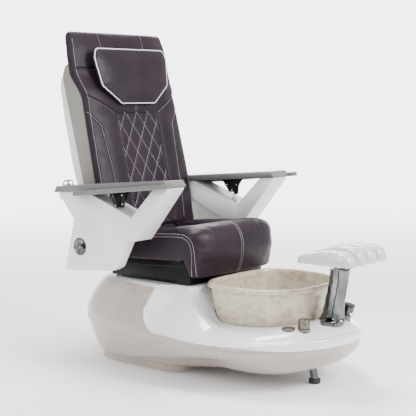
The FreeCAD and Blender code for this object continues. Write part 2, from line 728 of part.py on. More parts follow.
def make_side_shell():
    """The grey shell round the edge of the back, open to the front and the rear."""
    outer = back_prism(SIDE_SHELL, -292, 292)
    middle = back_prism([(60, -30), (60, 676), (6, 788), (2, 836), (-28, 831), (-53, 792),
                         (-120, 772), (-120, -30)], -288, 288)
    return outer.cut(middle).cut(cylinder(SHAFT_RADIUS + 0.5, (-300, 0, 0), (300, 0, 0)))


def make_rear_cover():
    outer = back_prism(REAR_COVER, -286, 286)
    upright = [edge for edge in outer.Edges
               if abs(edge.Vertexes[0].X - edge.Vertexes[-1].X) < 1 and edge.BoundBox.YMin > 84
               and edge.Length > 40]
    outer = outer.makeFillet(16, upright)
    inner = back_prism([(-30, 18), (-30, 780), (-62, 778), (-78, 782), (-92, 733), (-102, 600),
                        (-101, 400), (-91, 250), (-82, 18)], -280, 280)
    return outer.cut(inner)


def make_massage_rails():
    return [cylinder(6, (x, 0, 134), (x, 0, 740)) for x in (-130, 130)]


def make_massage_carriage():
    plate = box((-150, 150), (8, 22), (400, 480))
    blocks = [box((x - 14, x + 14), (-13, 10), (400, 480)) for x in (-130, 130)]
    lugs = [box((x, x + 8), (-30, 10), (425, 455)) for x in (-88, 80)]
    carriage = plate.fuse(blocks + lugs).removeSplitter()
    for x in (-130, 130):
        carriage = carriage.cut(cylinder(6.05, (x, 0, 390), (x, 0, 490)))
    return carriage.cut(cylinder(6.05, (-100, -20, 440), (100, -20, 440)))


def make_massage_rollers():
    axle = cylinder(6, (-92, -20, 440), (92, -20, 440))
    rollers = [rounded(cylinder(21, (x, -20, 440), (x + 30, -20, 440)), 5, any_edge) for x in (-72, 42)]
    return axle.fuse(rollers)


def make_massage_motor():
    return cylinder(24, (0, 46.2, 405), (0, 46.2, 475))


def make_back_cushion():
    return back_prism([(44, 58), (80, 58), (88, 200), (88, 640), (80, 668), (44, 668)],
                      -BACK_HALF_WIDTH, BACK_HALF_WIDTH)


def make_headrest_panel():
    points = [(44, 668.5), (79, 668.5), (58, 780), (60, 900), (54, BACK_TOP - 12), (42, BACK_TOP),
              (26, BACK_TOP), (14, BACK_TOP - 14), (12, 792)]
    return back_prism(points, -BACK_HALF_WIDTH - 12, BACK_HALF_WIDTH + 12)


def make_pillow_mount():
    """The plate behind the pillow that it slides up and down on."""
    return box((-60, 60), (-88, -61), (790, 880))


def make_pillow():
    outline = [(-218, 877), (218, 877), (181, 698), (112, 622), (-112, 622), (-181, 698)]
    corners = [V(x, -88.6, s) for x, s in outline]
    face = Part.Face(Part.makePolygon(corners + corners[:1]))
    return face.extrude(V(0, -45, 0))


def build():
    keep("lower_shell", make_lower_shell())
    keep("upper_shell", make_upper_shell())
    keep("basin", make_basin())
    keep("base_frame", make_base_frame())
    keep("drain_pump", make_drain_pump())
    keep("drain_hose", make_drain_hose())
    keep("drain_strainer", make_drain())
    keep("jet_housing", make_jet_housing())
    keep("jet_motor", make_jet_motor())
    keep("jet_impeller", make_jet_impeller())
    keep("control_box", make_control_box())
    keep("water_inlets", *make_water_inlets())
    keep("front_leg", make_front_leg())
    keep("rubber_feet", make_front_foot(), *make_levelling_feet())
    keep("column_flange", make_column_flange())
    keep("footrest_column", make_column())
    keep("footrest_bracket", make_footrest_bracket())
    keep("footrest_pivot_plate", make_footrest_pivot())
    keep("footrest_pads", make_footrest_pads())
    keep("mixer_knob", make_mixer_knob())
    keep("air_button", make_air_button())
    keep("deck_trim_rings", make_knob_collar(), make_button_bezel(), make_shower_socket())
    keep("hand_shower", make_hand_shower())
    keep("rail_box", make_rail_box())
    keep("fixed_rails", *make_fixed_rails())
    keep("slide_motor", make_slide_motor())
    keep("moving_rails", *make_moving_rails())
    keep("slide_spindle", make_slide_spindle())
    keep("seat_pan", make_seat_pan())
    keep("cross_tube", make_cross_tube())
    keep("pivot_shaft", make_pivot_shaft())
    keep("recline_motor", make_recline_motor())
    keep("seat_cushion", make_seat_cushion())
    keep("seat_front_roll", make_front_roll())
    both_sides("seat_bolster", mirror(make_bolster()))
    both_sides("arm_panel", make_arm_panel())
    both_sides("lower_panel", make_lower_panel())
    both_sides("armrest", make_armrest())
    both_sides("side_tray", make_side_tray())
    both_sides("latch_lever", make_latch_lever())
    keep("tray_brackets", make_tray_bracket(), mirror(make_tray_bracket()))
    keep("latch_discs", make_latch_disc(), mirror(make_latch_disc()))
    keep("remote_holder", make_remote_holder())
    keep("back_frame", place_back(make_back_frame()))
    keep("back_side_shell", place_back(make_side_shell()))
    keep("back_rear_cover", place_back(make_rear_cover()))
    keep("massage_rails", *[place_back(rail) for rail in make_massage_rails()])
    keep("massage_carriage", place_back(make_massage_carriage()))
    keep("massage_motor", place_back(make_massage_motor()))
    keep("massage_rollers", place_back(make_massage_rollers()))
    keep("back_cushion", place_back(make_back_cushion()))
    keep("headrest_panel", place_back(make_headrest_panel()))
    keep("pillow_mount", place_back(make_pillow_mount()))
    keep("pillow", place_back(make_pillow()))


def both_sides(name, right):
    """Keep a piece for the sitter's right (-X) and its mirror image for the left."""
    keep(name + "_right", right)
    keep(name + "_left", mirror(right))


build()
os.makedirs("parts", exist_ok=True)
for node, shape in PARTS.items():
    shape.translate(V(0, SHIFT_Y, 0))
    shape.exportStep("parts/" + node + ".step")
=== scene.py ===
"""Looks of the pedicure spa chair: smooth shells, chrome, and stuffed and stitched leather.

Lengths are in metres.  Shapes are laid out about the chair's own datum; SHIFT moves them
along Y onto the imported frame.
"""
import json
import math

import bmesh
import bpy
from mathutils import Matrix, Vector
from mathutils.bvhtree import BVHTree
from mathutils.kdtree import KDTree


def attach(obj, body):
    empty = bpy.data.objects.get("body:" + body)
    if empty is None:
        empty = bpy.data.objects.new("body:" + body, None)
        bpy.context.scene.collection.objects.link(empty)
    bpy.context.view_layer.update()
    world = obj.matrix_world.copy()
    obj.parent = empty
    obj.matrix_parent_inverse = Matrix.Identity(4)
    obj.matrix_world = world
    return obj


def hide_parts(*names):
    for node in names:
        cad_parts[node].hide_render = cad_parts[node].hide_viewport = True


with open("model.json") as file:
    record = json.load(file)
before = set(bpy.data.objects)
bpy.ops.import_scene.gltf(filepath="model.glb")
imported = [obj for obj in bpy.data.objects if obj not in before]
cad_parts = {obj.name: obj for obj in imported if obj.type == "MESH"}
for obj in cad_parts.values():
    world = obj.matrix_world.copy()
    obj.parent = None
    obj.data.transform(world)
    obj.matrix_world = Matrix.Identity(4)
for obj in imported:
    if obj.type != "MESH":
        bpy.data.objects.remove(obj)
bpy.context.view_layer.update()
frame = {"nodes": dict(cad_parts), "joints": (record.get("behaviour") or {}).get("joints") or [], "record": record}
NODES = frame["nodes"]

# ---- driving values -----------------------------------------------------------------
PIVOT = Vector(next(j for j in frame["joints"] if j["name"] == "back_recline")["pos_m"])
SHIFT = PIVOT.y - 0.436
LEAN = math.radians(13.0)

BASE_HALF_WIDTH = 0.425
BASE_FRONT, BASE_MIDDLE, BASE_REAR = -0.720, -0.150, 0.660
SEAM_Z, SEAM_FRONT_RISE = 0.182, 0.012
PEDESTAL_Z, PEDESTAL_INSET = 0.393, 0.105
DECK_EDGE_Z, DECK_FRONT_Z = 0.205, 0.235
BASIN_HALF_WIDTH, BASIN_FRONT, BASIN_REAR = 0.278, -0.585, -0.112
BASIN_RIM_Z, BASIN_FLOOR_Z, BASIN_LIP = 0.422, 0.168, 0.024
OPENING_Z = 0.255
SHELL = 0.006
PLINTH_HALF_WIDTH, PLINTH_FRONT, PLINTH_REAR, PLINTH_Z = 0.275, -0.030, 0.540, 0.034
BELLY_RISE, NOSE_RISE = 0.075, 0.022
KNOB, BUTTON, SHOWER = (-0.158, -0.606, 0.267), (-0.196, -0.556, 0.265), (0.104, -0.634, 0.262)
COLUMN_Y = -0.640
SHOWER_AXIS = Vector((0.12, -0.22, 0.97)).normalized()

CAMERA_PLACE = (-3.710, -3.078 + SHIFT, 1.232)
CAMERA_PITCH, CAMERA_TURN = math.radians(90.0 - 6.235), math.radians(-50.0)
CAMERA_LENS = 93.46
BACKDROP_WAY = (0.7615, 0.6390, -0.1086)      # the bright backdrop stands this way from the chair


# ---- small tools --------------------------------------------------------------------
def smooth_step(value):
    value = min(1.0, max(0.0, value))
    return value * value * (3 - 2 * value)


def between(table, value):
    """Smoothly read a short table of (place, amount) pairs."""
    if value <= table[0][0]:
        return table[0][1]
    for (low, a), (high, b) in zip(table, table[1:]):
        if value <= high:
            return a + (b - a) * smooth_step((value - low) / (high - low))
    return table[-1][1]


def back_point(x, s, n):
    """A point of the backrest: s runs up it from the recline pin and n runs forward."""
    return Vector((x, PIVOT.y + s * math.sin(LEAN) - n * math.cos(LEAN),
                   PIVOT.z + s * math.cos(LEAN) + n * math.sin(LEAN)))


def back_coordinates(point):
    """The (s, n) at which back_point gives this point."""
    away = point - Vector((0, PIVOT.y, PIVOT.z))
    return (away.y * math.sin(LEAN) + away.z * math.cos(LEAN),
            -away.y * math.cos(LEAN) + away.z * math.sin(LEAN))


def chair(x, y, z):
    """A point given about the chair's own datum."""
    return Vector((x, y + SHIFT, z))


def make(name, points, faces, sharp=40):
    """A mesh object with outward normals, smooth but for edges sharper than sharp degrees."""
    data = bpy.data.meshes.new(name)
    data.from_pydata([tuple(point) for point in points], [], faces)
    piece = bpy.data.objects.new(name, data)
    bpy.context.scene.collection.objects.link(piece)
    tidy_mesh(piece, sharp)
    return piece


def tidy_mesh(piece, sharp=40):
    """Merge doubled points, turn the normals outward and shade."""
    work = bmesh.new()
    work.from_mesh(piece.data)
    bmesh.ops.remove_doubles(work, verts=work.verts, dist=1e-6)
    bmesh.ops.recalc_face_normals(work, faces=work.faces)
    work.to_mesh(piece.data)
    work.free()
    shade(piece, sharp)


def shade(piece, sharp=40):
    """Smooth shading, but for edges sharper than sharp degrees."""
    for polygon in piece.data.polygons:
        polygon.use_smooth = True
    piece.data.set_sharp_from_angle(angle=math.radians(sharp))


def settle(piece):
    """Apply the piece's modifiers."""
    bpy.context.view_layer.update()
    shown = piece.evaluated_get(bpy.context.evaluated_depsgraph_get())
    piece.data = bpy.data.meshes.new_from_object(shown)
    piece.modifiers.clear()
    return piece


def dress(piece, body, slot, *nodes, material=None):
    """Attach a finished piece to its body, and hide the CAD nodes it stands for.

    A bare piece takes the given material, or else the slot's own.
    """
    if not piece.data.materials:
        piece.data.materials.append(material or FINISHES[slot])
    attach(piece, body)
    if nodes:
        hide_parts(*nodes)
    return piece


def loft_faces(rings, around, wrap=False, caps=True):
    """Quads between rings of equal length; wrap joins the last ring to the first."""
    faces = []
    for ring in range(rings if wrap else rings - 1):
        low, high = ring * around, (ring + 1) % rings * around
        for step in range(around):
            after = (step + 1) % around
            faces.append((low + step, low + after, high + after, high + step))
    if caps and not wrap:
        faces.append(tuple(reversed(range(around))))
        faces.append(tuple(range((rings - 1) * around, rings * around)))
    return faces


def loft(name, rings, wrap=False, caps=True, sharp=40):
    """A skin through rings of points."""
    points = [point for ring in rings for point in ring]
    return make(name, points, loft_faces(len(rings), len(rings[0]), wrap, caps), sharp)


def joined(name, pieces):
    """One object from several."""
    work = bmesh.new()
    for piece in pieces:
        work.from_mesh(piece.data)
        bpy.data.objects.remove(piece)
    data = bpy.data.meshes.new(name)
    work.to_mesh(data)
    work.free()
    whole = bpy.data.objects.new(name, data)
    bpy.context.scene.collection.objects.link(whole)
    shade(whole)
    return whole


def cut(piece, cutter):
    """Take the cutter out of the piece."""
    knife = piece.modifiers.new("cut", "BOOLEAN")
    knife.operation, knife.solver, knife.object = "DIFFERENCE", "EXACT", cutter
    settle(piece)
    bpy.data.objects.remove(cutter)
    shade(piece)
    return piece


def bevelled(piece, width, segments=3):
    """Round the piece's sharp edges."""
    edge = piece.modifiers.new("edge", "BEVEL")
    edge.width, edge.segments, edge.limit_method = width, segments, "ANGLE"
    edge.angle_limit, edge.harden_normals = math.radians(24), True
    settle(piece)
    shade(piece, 50)
    return piece


def rounded_outline(corners, radius, steps=6):
    """A 2D polygon with its corners rounded; radius is one value or one for each corner."""
    outline = []
    for index, corner in enumerate(corners):
        here, before = Vector(corner), Vector(corners[index - 1])
        after = Vector(corners[(index + 1) % len(corners)])
        back, ahead = before - here, after - here
        wide = radius[index] if isinstance(radius, (list, tuple)) else radius
        half = math.acos(max(-1.0, min(1.0, back.normalized().dot(ahead.normalized())))) / 2
        reach = min(wide / max(math.tan(half), 0.05), 0.48 * back.length, 0.48 * ahead.length)
        start, end = here + back.normalized() * reach, here + ahead.normalized() * reach
        for step in range(steps + 1):
            t = step / steps
            outline.append((1 - t) ** 2 * start + 2 * t * (1 - t) * here + t * t * end)
    return outline


def slab(name, corners, x_low, x_high, corner_radius, edge):
    """A polygon of (y, z) corners extruded across the chair, with rounded corners and edges."""
    outline = [Vector(corner) for corner in corners]
    if corner_radius:
        outline = rounded_outline(corners, corner_radius, 4)
    rings = [[chair(x, p.x, p.y) for p in outline] for x in (x_low, x_high)]
    return bevelled(loft(name, rings), edge)


def turned(name, profile, start, axis, around=56):
    """A turned piece: profile is a list of (radius, distance along the axis)."""
    axis = Vector(axis).normalized()
    side = axis.orthogonal().normalized()
    other = axis.cross(side)
    rings = []
    for radius, along in profile:
        centre = Vector(start) + axis * along
        rings.append([centre + (side * math.cos(2 * math.pi * k / around)
                                + other * math.sin(2 * math.pi * k / around)) * radius
                      for k in range(around)])
    return loft(name, rings, sharp=32)


def swept(name, path, radius, sides=8, closed=False):
    """A round tube along a path."""
    count = len(path)
    tangents = []
    for index in range(count):
        ahead = path[(index + 1) % count] if closed or index < count - 1 else path[index]
        behind = path[index - 1] if closed or index > 0 else path[index]
        tangents.append((ahead - behind).normalized())
    normal = tangents[0].orthogonal().normalized()
    rings = []
    for point, tangent in zip(path, tangents):
        normal = (normal - tangent * normal.dot(tangent)).normalized()
        other = tangent.cross(normal)
        rings.append([point + (normal * math.cos(2 * math.pi * k / sides)
                               + other * math.sin(2 * math.pi * k / sides)) * radius
                      for k in range(sides)])
    return loft(name, rings, wrap=closed, caps=not closed, sharp=80)


def along(path, step, closed=False):
    """Points evenly spaced along a path."""
    points = list(path) + ([path[0]] if closed else [])
    result, left = [points[0].copy()], step
    for here, there in zip(points, points[1:]):
        length, done = (there - here).length, 0.0
        while length - done > left:
            done += left
            result.append(here.lerp(there, done / length))
            left = step
        left -= length - done
    return result


# ---- materials ----------------------------------------------------------------------
def finish(name, colour, roughness, metallic=0.0, coat=0.0, coat_roughness=0.05, sheen=0.0, specular=0.5):
    """A material with one Principled shader; colours are linear."""
    material = bpy.data.materials.new(name)
    material.use_nodes = True
    shader = material.node_tree.nodes["Principled BSDF"]
    shader.inputs["Base Color"].default_value = (*colour, 1)
    shader.inputs["Roughness"].default_value = roughness
    shader.inputs["Metallic"].default_value = metallic
    shader.inputs["Coat Weight"].default_value = coat
    shader.inputs["Coat Roughness"].default_value = coat_roughness
    shader.inputs["Sheen Weight"].default_value = sheen
    shader.inputs["Specular IOR Level"].default_value = specular
    return material


def texture(material, kind, scale, detail=3.0, stretch=(1, 1, 1)):
    """A noise or Voronoi texture in the piece's own coordinates; returns its main output."""
    nodes, links = material.node_tree.nodes, material.node_tree.links
    place = nodes.new("ShaderNodeTexCoord")
    mapping = nodes.new("ShaderNodeMapping")
    mapping.inputs["Scale"].default_value = stretch
    links.new(place.outputs["Object"], mapping.inputs["Vector"])
    pattern = nodes.new("ShaderNodeTex" + kind)
    pattern.inputs["Scale"].default_value = scale
    if kind == "Noise":
        pattern.inputs["Detail"].default_value = detail
    links.new(mapping.outputs["Vector"], pattern.inputs["Vector"])
    return pattern.outputs["Fac" if kind in ("Noise", "Wave") else "Distance"]


def vary(material, source, low, high, socket, spread=(0.3, 0.7)):
    """Drive a socket between two values or colours from a texture."""
    nodes, links = material.node_tree.nodes, material.node_tree.links
    ramp = nodes.new("ShaderNodeValToRGB")
    ramp.color_ramp.elements[0].position, ramp.color_ramp.elements[1].position = spread
    for element, value in zip(ramp.color_ramp.elements, (low, high)):
        element.color = (*value, 1) if isinstance(value, tuple) else (value, value, value, 1)
    links.new(source, ramp.inputs["Fac"])
    shader = nodes["Principled BSDF"]
    links.new(ramp.outputs["Color"], shader.inputs[socket])


def drift(material, socket, low, high, *pattern):
    """Drive a socket between two values or colours from a texture of its own."""
    vary(material, texture(material, *pattern), low, high, socket)


def bump(material, source, distance, strength):
    """Add one layer of bump under those already there."""
    nodes, links = material.node_tree.nodes, material.node_tree.links
    layer = nodes.new("ShaderNodeBump")
    layer.inputs["Distance"].default_value = distance
    layer.inputs["Strength"].default_value = strength
    links.new(source, layer.inputs["Height"])
    target = nodes["Principled BSDF"].inputs["Normal"]
    if target.links:
        links.new(target.links[0].from_socket, layer.inputs["Normal"])
    links.new(layer.outputs["Normal"], target)


def emboss(material, distance, strength, *pattern):
    """Add a layer of bump from a texture of its own."""
    bump(material, texture(material, *pattern), distance, strength)


def leather():
    material = finish("plum_leather", (0.010, 0.0056, 0.0088), 0.40, specular=0.17)
    drift(material, "Base Color", (0.0105, 0.0052, 0.0098), (0.0185, 0.0100, 0.0172), "Noise", 7.0)
    drift(material, "Roughness", 0.32, 0.46, "Noise", 26.0)
    emboss(material, 0.0012, 0.35, "Noise", 38.0, 4.0)
    emboss(material, 0.0003, 0.55, "Voronoi", 720.0)
    return material


def thread():
    material = finish("stitching_thread", (0.50, 0.44, 0.50), 0.65, sheen=0.3)
    drift(material, "Base Color", (0.22, 0.185, 0.22), (0.34, 0.29, 0.34), "Noise", 60.0)
    emboss(material, 0.0002, 0.5, "Wave", 900.0)
    return material


def piping():
    material = finish("pale_piping", (0.80, 0.72, 0.77), 0.42, coat=0.2)
    drift(material, "Base Color", (0.60, 0.53, 0.57), (0.72, 0.65, 0.69), "Noise", 30.0)
    emboss(material, 0.0002, 0.4, "Noise", 500.0)
    return material


def gelcoat():
    material = finish("white_gelcoat", (0.80, 0.81, 0.82), 0.16, coat=0.7, coat_roughness=0.04)
    drift(material, "Base Color", (0.66, 0.665, 0.67), (0.72, 0.72, 0.725), "Noise", 3.0)
    drift(material, "Roughness", 0.12, 0.22, "Noise", 45.0, 5.0)
    emboss(material, 0.0006, 0.12, "Noise", 14.0)
    return material


def pearl():
    material = finish("pearl_body", (0.58, 0.52, 0.485), 0.26, coat=0.5, coat_roughness=0.08)
    drift(material, "Base Color", (0.34, 0.285, 0.252), (0.41, 0.355, 0.320), "Noise", 2.6)
    drift(material, "Roughness", 0.20, 0.34, "Noise", 260.0, 5.0)
    emboss(material, 0.0006, 0.12, "Noise", 11.0)
    return material


def marbled():
    """Cream pearl with soft crinkled veins."""
    material = finish("basin_marbled", (0.56, 0.49, 0.39), 0.24, coat=0.6, coat_roughness=0.06)
    swirl = texture(material, "Noise", 13.0, 7.0, (1, 1, 1.5))
    swirl.node.inputs["Distortion"].default_value = 2.2
    vary(material, swirl, (0.36, 0.295, 0.215), (0.52, 0.455, 0.355), "Base Color", (0.34, 0.62))
    drift(material, "Roughness", 0.16, 0.34, "Noise", 90.0, 6.0)
    emboss(material, 0.0012, 0.25, "Noise", 30.0, 6.0)
    return material


def chrome():
    material = finish("chrome_painted_reflections", (0.24, 0.245, 0.255), 0.07, metallic=1.0)
    # The darkened metal colour and its dark vertical streaks are painted reflections of dark surroundings, not
    # marks on the metal.
    drift(material, "Base Color", (0.030, 0.031, 0.033),
          (0.24, 0.245, 0.255), "Noise", 34.0, 4.0, (1, 1, 0.16))
    drift(material, "Roughness", 0.04, 0.13, "Noise", 70.0, 5.0)
    emboss(material, 0.0005, 0.15, "Noise", 9.0)
    return material


def nickel():
    material = finish("brushed_nickel", (0.17, 0.15, 0.132), 0.34, metallic=1.0)
    brushed = texture(material, "Noise", 90.0, 4.0, (1, 1, 14))
    vary(material, brushed, (0.12, 0.105, 0.092), (0.21, 0.187, 0.167), "Base Color")
    vary(material, brushed, 0.26, 0.42, "Roughness")
    bump(material, brushed, 0.00015, 0.5)
    return material


def moulded(name, colour, roughness, coat=0.0, grain=420.0, specular=0.5):
    """Moulded plastic: slight colour drift, uneven gloss and a fine texture."""
    material = finish(name, colour, roughness, coat=coat, coat_roughness=0.12, specular=specular)
    dark, light = tuple(c * 0.93 for c in colour), tuple(min(1.0, c * 1.06) for c in colour)
    drift(material, "Base Color", dark, light, "Noise", 5.0)
    drift(material, "Roughness", roughness * 0.85, roughness * 1.2, "Noise", 50.0, 4.0)
    emboss(material, 0.00015, 0.35, "Noise", grain)
    return material


def plated(name, colour, roughness):
    """Zinc, brass or another bare metal."""
    material = finish(name, colour, roughness, metallic=1.0)
    drift(material, "Base Color", tuple(c * 0.85 for c in colour), colour, "Voronoi", 90.0)
    drift(material, "Roughness", roughness * 0.8, roughness * 1.3, "Noise", 60.0, 4.0)
    emboss(material, 0.0001, 0.4, "Noise", 200.0)
    return material


def plywood():
    material = finish("birch_plywood", (0.52, 0.38, 0.22), 0.6)
    drift(material, "Base Color", (0.42, 0.29, 0.16), (0.60, 0.46, 0.28), "Noise", 12.0, 6.0, (1, 9, 1))
    emboss(material, 0.0003, 0.5, "Noise", 60.0, 4.0, (1, 12, 1))
    return material


def paint_cad_nodes():
    """Every CAD node that stays in view takes the material of its record slot."""
    for entry in frame["record"]["subparts"]:
        node = NODES[entry["node"]]
        node.data.materials.clear()
        node.data.materials.append(FINISHES[entry["material_slot"]])


def make_finishes():
    """One material for each slot of the record."""
    black = moulded("black_plastic", (0.022, 0.022, 0.024), 0.42)
    return {
        "gelcoat_deck": gelcoat(), "gelcoat_hull": pearl(), "basin_pearl": marbled(),
        "frame_steel": moulded("black_powder_coat", (0.05, 0.05, 0.055), 0.5, grain=900.0),
        "black_plastic": black, "hose_rubber": moulded("hose_rubber", (0.05, 0.05, 0.05), 0.7),
        "chrome": chrome(), "brass": plated("machined_brass", (0.72, 0.54, 0.24), 0.3),
        "rubber": moulded("black_rubber", (0.025, 0.025, 0.025), 0.75, grain=260.0),
        "pad_white": moulded("footrest_white", (0.53, 0.535, 0.54), 0.14, coat=0.8, grain=30.0),
        "nickel": nickel(),
        "black_gloss": moulded("gloss_black", (0.003, 0.003, 0.003), 0.38, coat=0.06, specular=0.12),
        "zinc_steel": plated("zinc_plate", (0.56, 0.57, 0.58), 0.35), "plywood": plywood(),
        "leather": leather(),
        "panel_white": moulded("panel_white", (0.70, 0.70, 0.69), 0.30, coat=0.2, grain=300.0),
        "armrest_grey": moulded("armrest_grey", (0.128, 0.127, 0.124), 0.3, coat=0.15),
        "bracket_black": moulded("bracket_black", (0.008, 0.008, 0.009), 0.42, grain=800.0, specular=0.25),
        "shell_grey": moulded("side_shell_grey", (0.21, 0.20, 0.18), 0.42, specular=0.3),
        "cover_white": moulded("rear_cover_white", (0.66, 0.66, 0.66), 0.30, coat=0.2),
        "roller_plastic": moulded("roller_plastic", (0.10, 0.10, 0.11), 0.45)}


# ---- base surfaces ------------------------------------------------------------------
AROUND = 288


def superellipse(turn, half_width, front, middle, rear, front_power, rear_power):
    """A point of a rounded outline, with its own fullness before and behind the middle."""
    angle = 2 * math.pi * turn
    cosine, sine = math.cos(angle), math.sin(angle)
    power, depth = (rear_power, rear - middle) if sine > 0 else (front_power, middle - front)
    x = half_width * math.copysign(abs(cosine) ** (2 / power), cosine)
    y = middle + depth * math.copysign(abs(sine) ** (2 / power), sine)
    return x, y


def base_outline(turn, inset):
    """The widest outline of the base, seen from above."""
    return superellipse(turn, BASE_HALF_WIDTH - inset, BASE_FRONT + inset, BASE_MIDDLE,
                        BASE_REAR - inset, 2.1, 2.5)


def even_turns():
    """Turns spaced evenly along the base outline."""
    steps = [0.25 + index / 8000 for index in range(8001)]
    points = [Vector((*base_outline(step, 0), 0)) for step in steps]
    travelled = [0.0]
    for here, there in zip(points, points[1:]):
        travelled.append(travelled[-1] + (there - here).length)
    turns, place = [], 0
    for index in range(AROUND):
        goal = travelled[-1] * (index + 0.5) / AROUND
        while travelled[place] < goal:
            place += 1
        turns.append(steps[place])
    return turns


TURNS = even_turns()


def seam_height(y):
    """Height of the seam between the two shells."""
    return SEAM_Z + SEAM_FRONT_RISE * max(0.0, (-0.250 - y) / 0.470) ** 1.5


def nose_share(y):
    """0 along the sides of the base, 1 round its nose."""
    return smooth_step((-0.350 - y) / 0.300)


def wall_inset(z, y_seam):
    """How far the upper shell's wall leans in at a height."""
    lean = (max(0.0, z - SEAM_Z) / (PEDESTAL_Z - SEAM_Z)) ** 2.24
    return PEDESTAL_INSET * lean * (1 - 0.6 * nose_share(y_seam))


def pedestal_share(x, y):
    """1 on top of the pedestal, falling in a hollow sweep to 0 out on the deck."""
    half_width = 0.262 + 0.090 * smooth_step((y + 0.030) / 0.140)
    out_x, out_y = max(0.0, abs(x) - half_width + 0.040), max(0.0, -0.072 - y)
    away = max(0.0, math.hypot(out_x, out_y) - 0.040)
    reach = 0.130 + 0.080 * smooth_step((abs(x) - 0.230) / 0.090)
    return max(0.0, 1 - away / reach) ** 2


def deck_height(cross, y_seam, x, y):
    """Height of the deck from its edge (cross 0) to the basin (cross 1)."""
    nose = nose_share(y_seam)
    edge = DECK_EDGE_Z + (DECK_FRONT_Z - DECK_EDGE_Z) * max(0.0, (-0.3 - y_seam) / 0.420) ** 1.3
    lip = OPENING_Z + 0.012 * min(1.0, max(0.0, (-0.330 - y) / 0.200))
    deck = edge + (lip - edge) * (1 - (1 - cross) ** (1.6 + 1.2 * nose))
    deck += 0.020 * nose * (4 * cross * (1 - cross)) ** 0.6 * math.exp(-(x / 0.165) ** 2)
    return deck + (PEDESTAL_Z - deck) * pedestal_share(x, y)


def basin_outline(turn, inset):
    return superellipse(turn, BASIN_HALF_WIDTH - inset, BASIN_FRONT + inset, -0.330,
                        BASIN_REAR - inset, 2.5, 3.4)


def basin_inset(z):
    """How far the basin's wall leans in at a height."""
    under_lip = BASIN_RIM_Z - BASIN_LIP
    depth = max(0.0, under_lip - z) / (under_lip - BASIN_FLOOR_Z)
    return 0.014 + 0.062 * depth ** 1.7


def lip_point(turn):
    """Edge of the shell round the basin, just clear of the basin wall."""
    y_seam = base_outline(turn, 0)[1]
    z = OPENING_Z
    for _ in range(12):
        x, y = basin_outline(turn, basin_inset(z) - 0.003)
        z = (z + deck_height(1, y_seam, x, y)) / 2
    return x, y


def crease_height(turn):
    """Height at which the wall of the upper shell meets its deck."""
    y_seam = base_outline(turn, 0)[1]
    low, high = seam_height(y_seam), PEDESTAL_Z
    for _ in range(30):
        middle = (low + high) / 2
        x, y = base_outline(turn, wall_inset(middle, y_seam))
        if deck_height(0, y_seam, x, y) > middle:
            low = middle
        else:
            high = middle
    return low


def deck_point(turn, cross, crease, lip):
    """A point of the deck, from the crease (cross 0) to the lip round the basin (cross 1)."""
    y_seam = base_outline(turn, 0)[1]
    x_edge, y_edge = base_outline(turn, wall_inset(crease, y_seam) + 0.014)
    x, y = x_edge + (lip[0] - x_edge) * cross, y_edge + (lip[1] - y_edge) * cross
    return chair(x, y, deck_height(cross, y_seam, x, y))


def upper_shell():
    """White deck with its sweep up to the seat, on a pearl wall, rounded where they meet."""
    columns = []
    wall_steps, round_steps, deck_steps = 16, 6, 30
    for turn in TURNS:
        column = []
        y_seam = base_outline(turn, 0)[1]
        seam, crease = seam_height(y_seam), crease_height(turn)
        lip = lip_point(turn)
        top = crease - min(0.016, (crease - seam) * 0.4)
        for step in range(wall_steps + 1):
            z = seam + (top - seam) * step / wall_steps
            column.append(chair(*base_outline(turn, wall_inset(z, y_seam)), z))
        corner = chair(*base_outline(turn, wall_inset(crease, y_seam) + 0.001), crease)
        start, end = column[-1], deck_point(turn, 0.0, crease, lip)
        for step in range(1, round_steps + 1):
            t = step / round_steps
            column.append((1 - t) ** 2 * start + 2 * t * (1 - t) * corner + t * t * end)
        for step in range(1, deck_steps + 1):
            column.append(deck_point(turn, (step / deck_steps) ** 0.9, crease, lip))
        column.append(column[-1] + Vector((0, 0, -0.012)))
        low = column[0]
        column.insert(0, low + (chair(0, -0.1, low.z) - low).normalized() * 0.006)
        columns.append(column)
    rings = [[column[level] for column in columns] for level in range(len(columns[0]))]
    shell = loft("upper_shell_skin", rings, caps=False, sharp=60)
    shell.data.materials.append(FINISHES["gelcoat_hull"])
    shell.data.materials.append(FINISHES["gelcoat_deck"])
    for polygon in shell.data.polygons:
        ring, turn = divmod(polygon.index, AROUND)
        fascia = ring > 1 + wall_steps * (1 - 1.1 * nose_share(base_outline(TURNS[turn], 0)[1]))
        polygon.material_index = 1 if ring >= wall_steps + 3 or fascia else 0
    for place, radius in ((KNOB, 0.0250), (BUTTON, 0.0262)):
        cut(shell, turned("hole", [(radius, -0.05), (radius, 0.05)], chair(*place), (0, 0, 1)))
    cut(shell, turned("hole", [(0.0225, -0.03), (0.0225, 0.05)], chair(*SHOWER), SHOWER_AXIS))
    return dress(shell, "base", "gelcoat_deck", "upper_shell")


def plinth_outline(turn, inset):
    return superellipse(turn, PLINTH_HALF_WIDTH - inset, PLINTH_FRONT + inset, 0.250,
                        PLINTH_REAR - inset, 6.0, 3.5)


def hull_point(turn, cross):
    """A point of the hull from the seam (cross 0) to the top of the plinth (cross 1)."""
    x_seam, y_seam = base_outline(turn, 0.005)
    x_foot, y_foot = plinth_outline(turn, 0)
    forward, nose = smooth_step((0.100 - y_seam) / 0.450), smooth_step((-0.400 - y_seam) / 0.280)
    top = seam_height(base_outline(turn, 0)[1])
    rise = BELLY_RISE + (NOSE_RISE - BELLY_RISE) * nose
    belly = PLINTH_Z + forward * rise * smooth_step((1 - cross) / 0.45)
    round_off = 1 - min(1.0, cross / (0.80 - 0.36 * nose))
    front = belly + (top - belly) * (1 - (1 - round_off ** 2.2) ** (1 / 2.2))
    rear = PLINTH_Z + (top - PLINTH_Z) * (1 - cross) ** 1.8
    x, y = x_seam + (x_foot - x_seam) * cross, y_seam + (y_foot - y_seam) * cross
    return chair(x, y, rear + (front - rear) * forward)


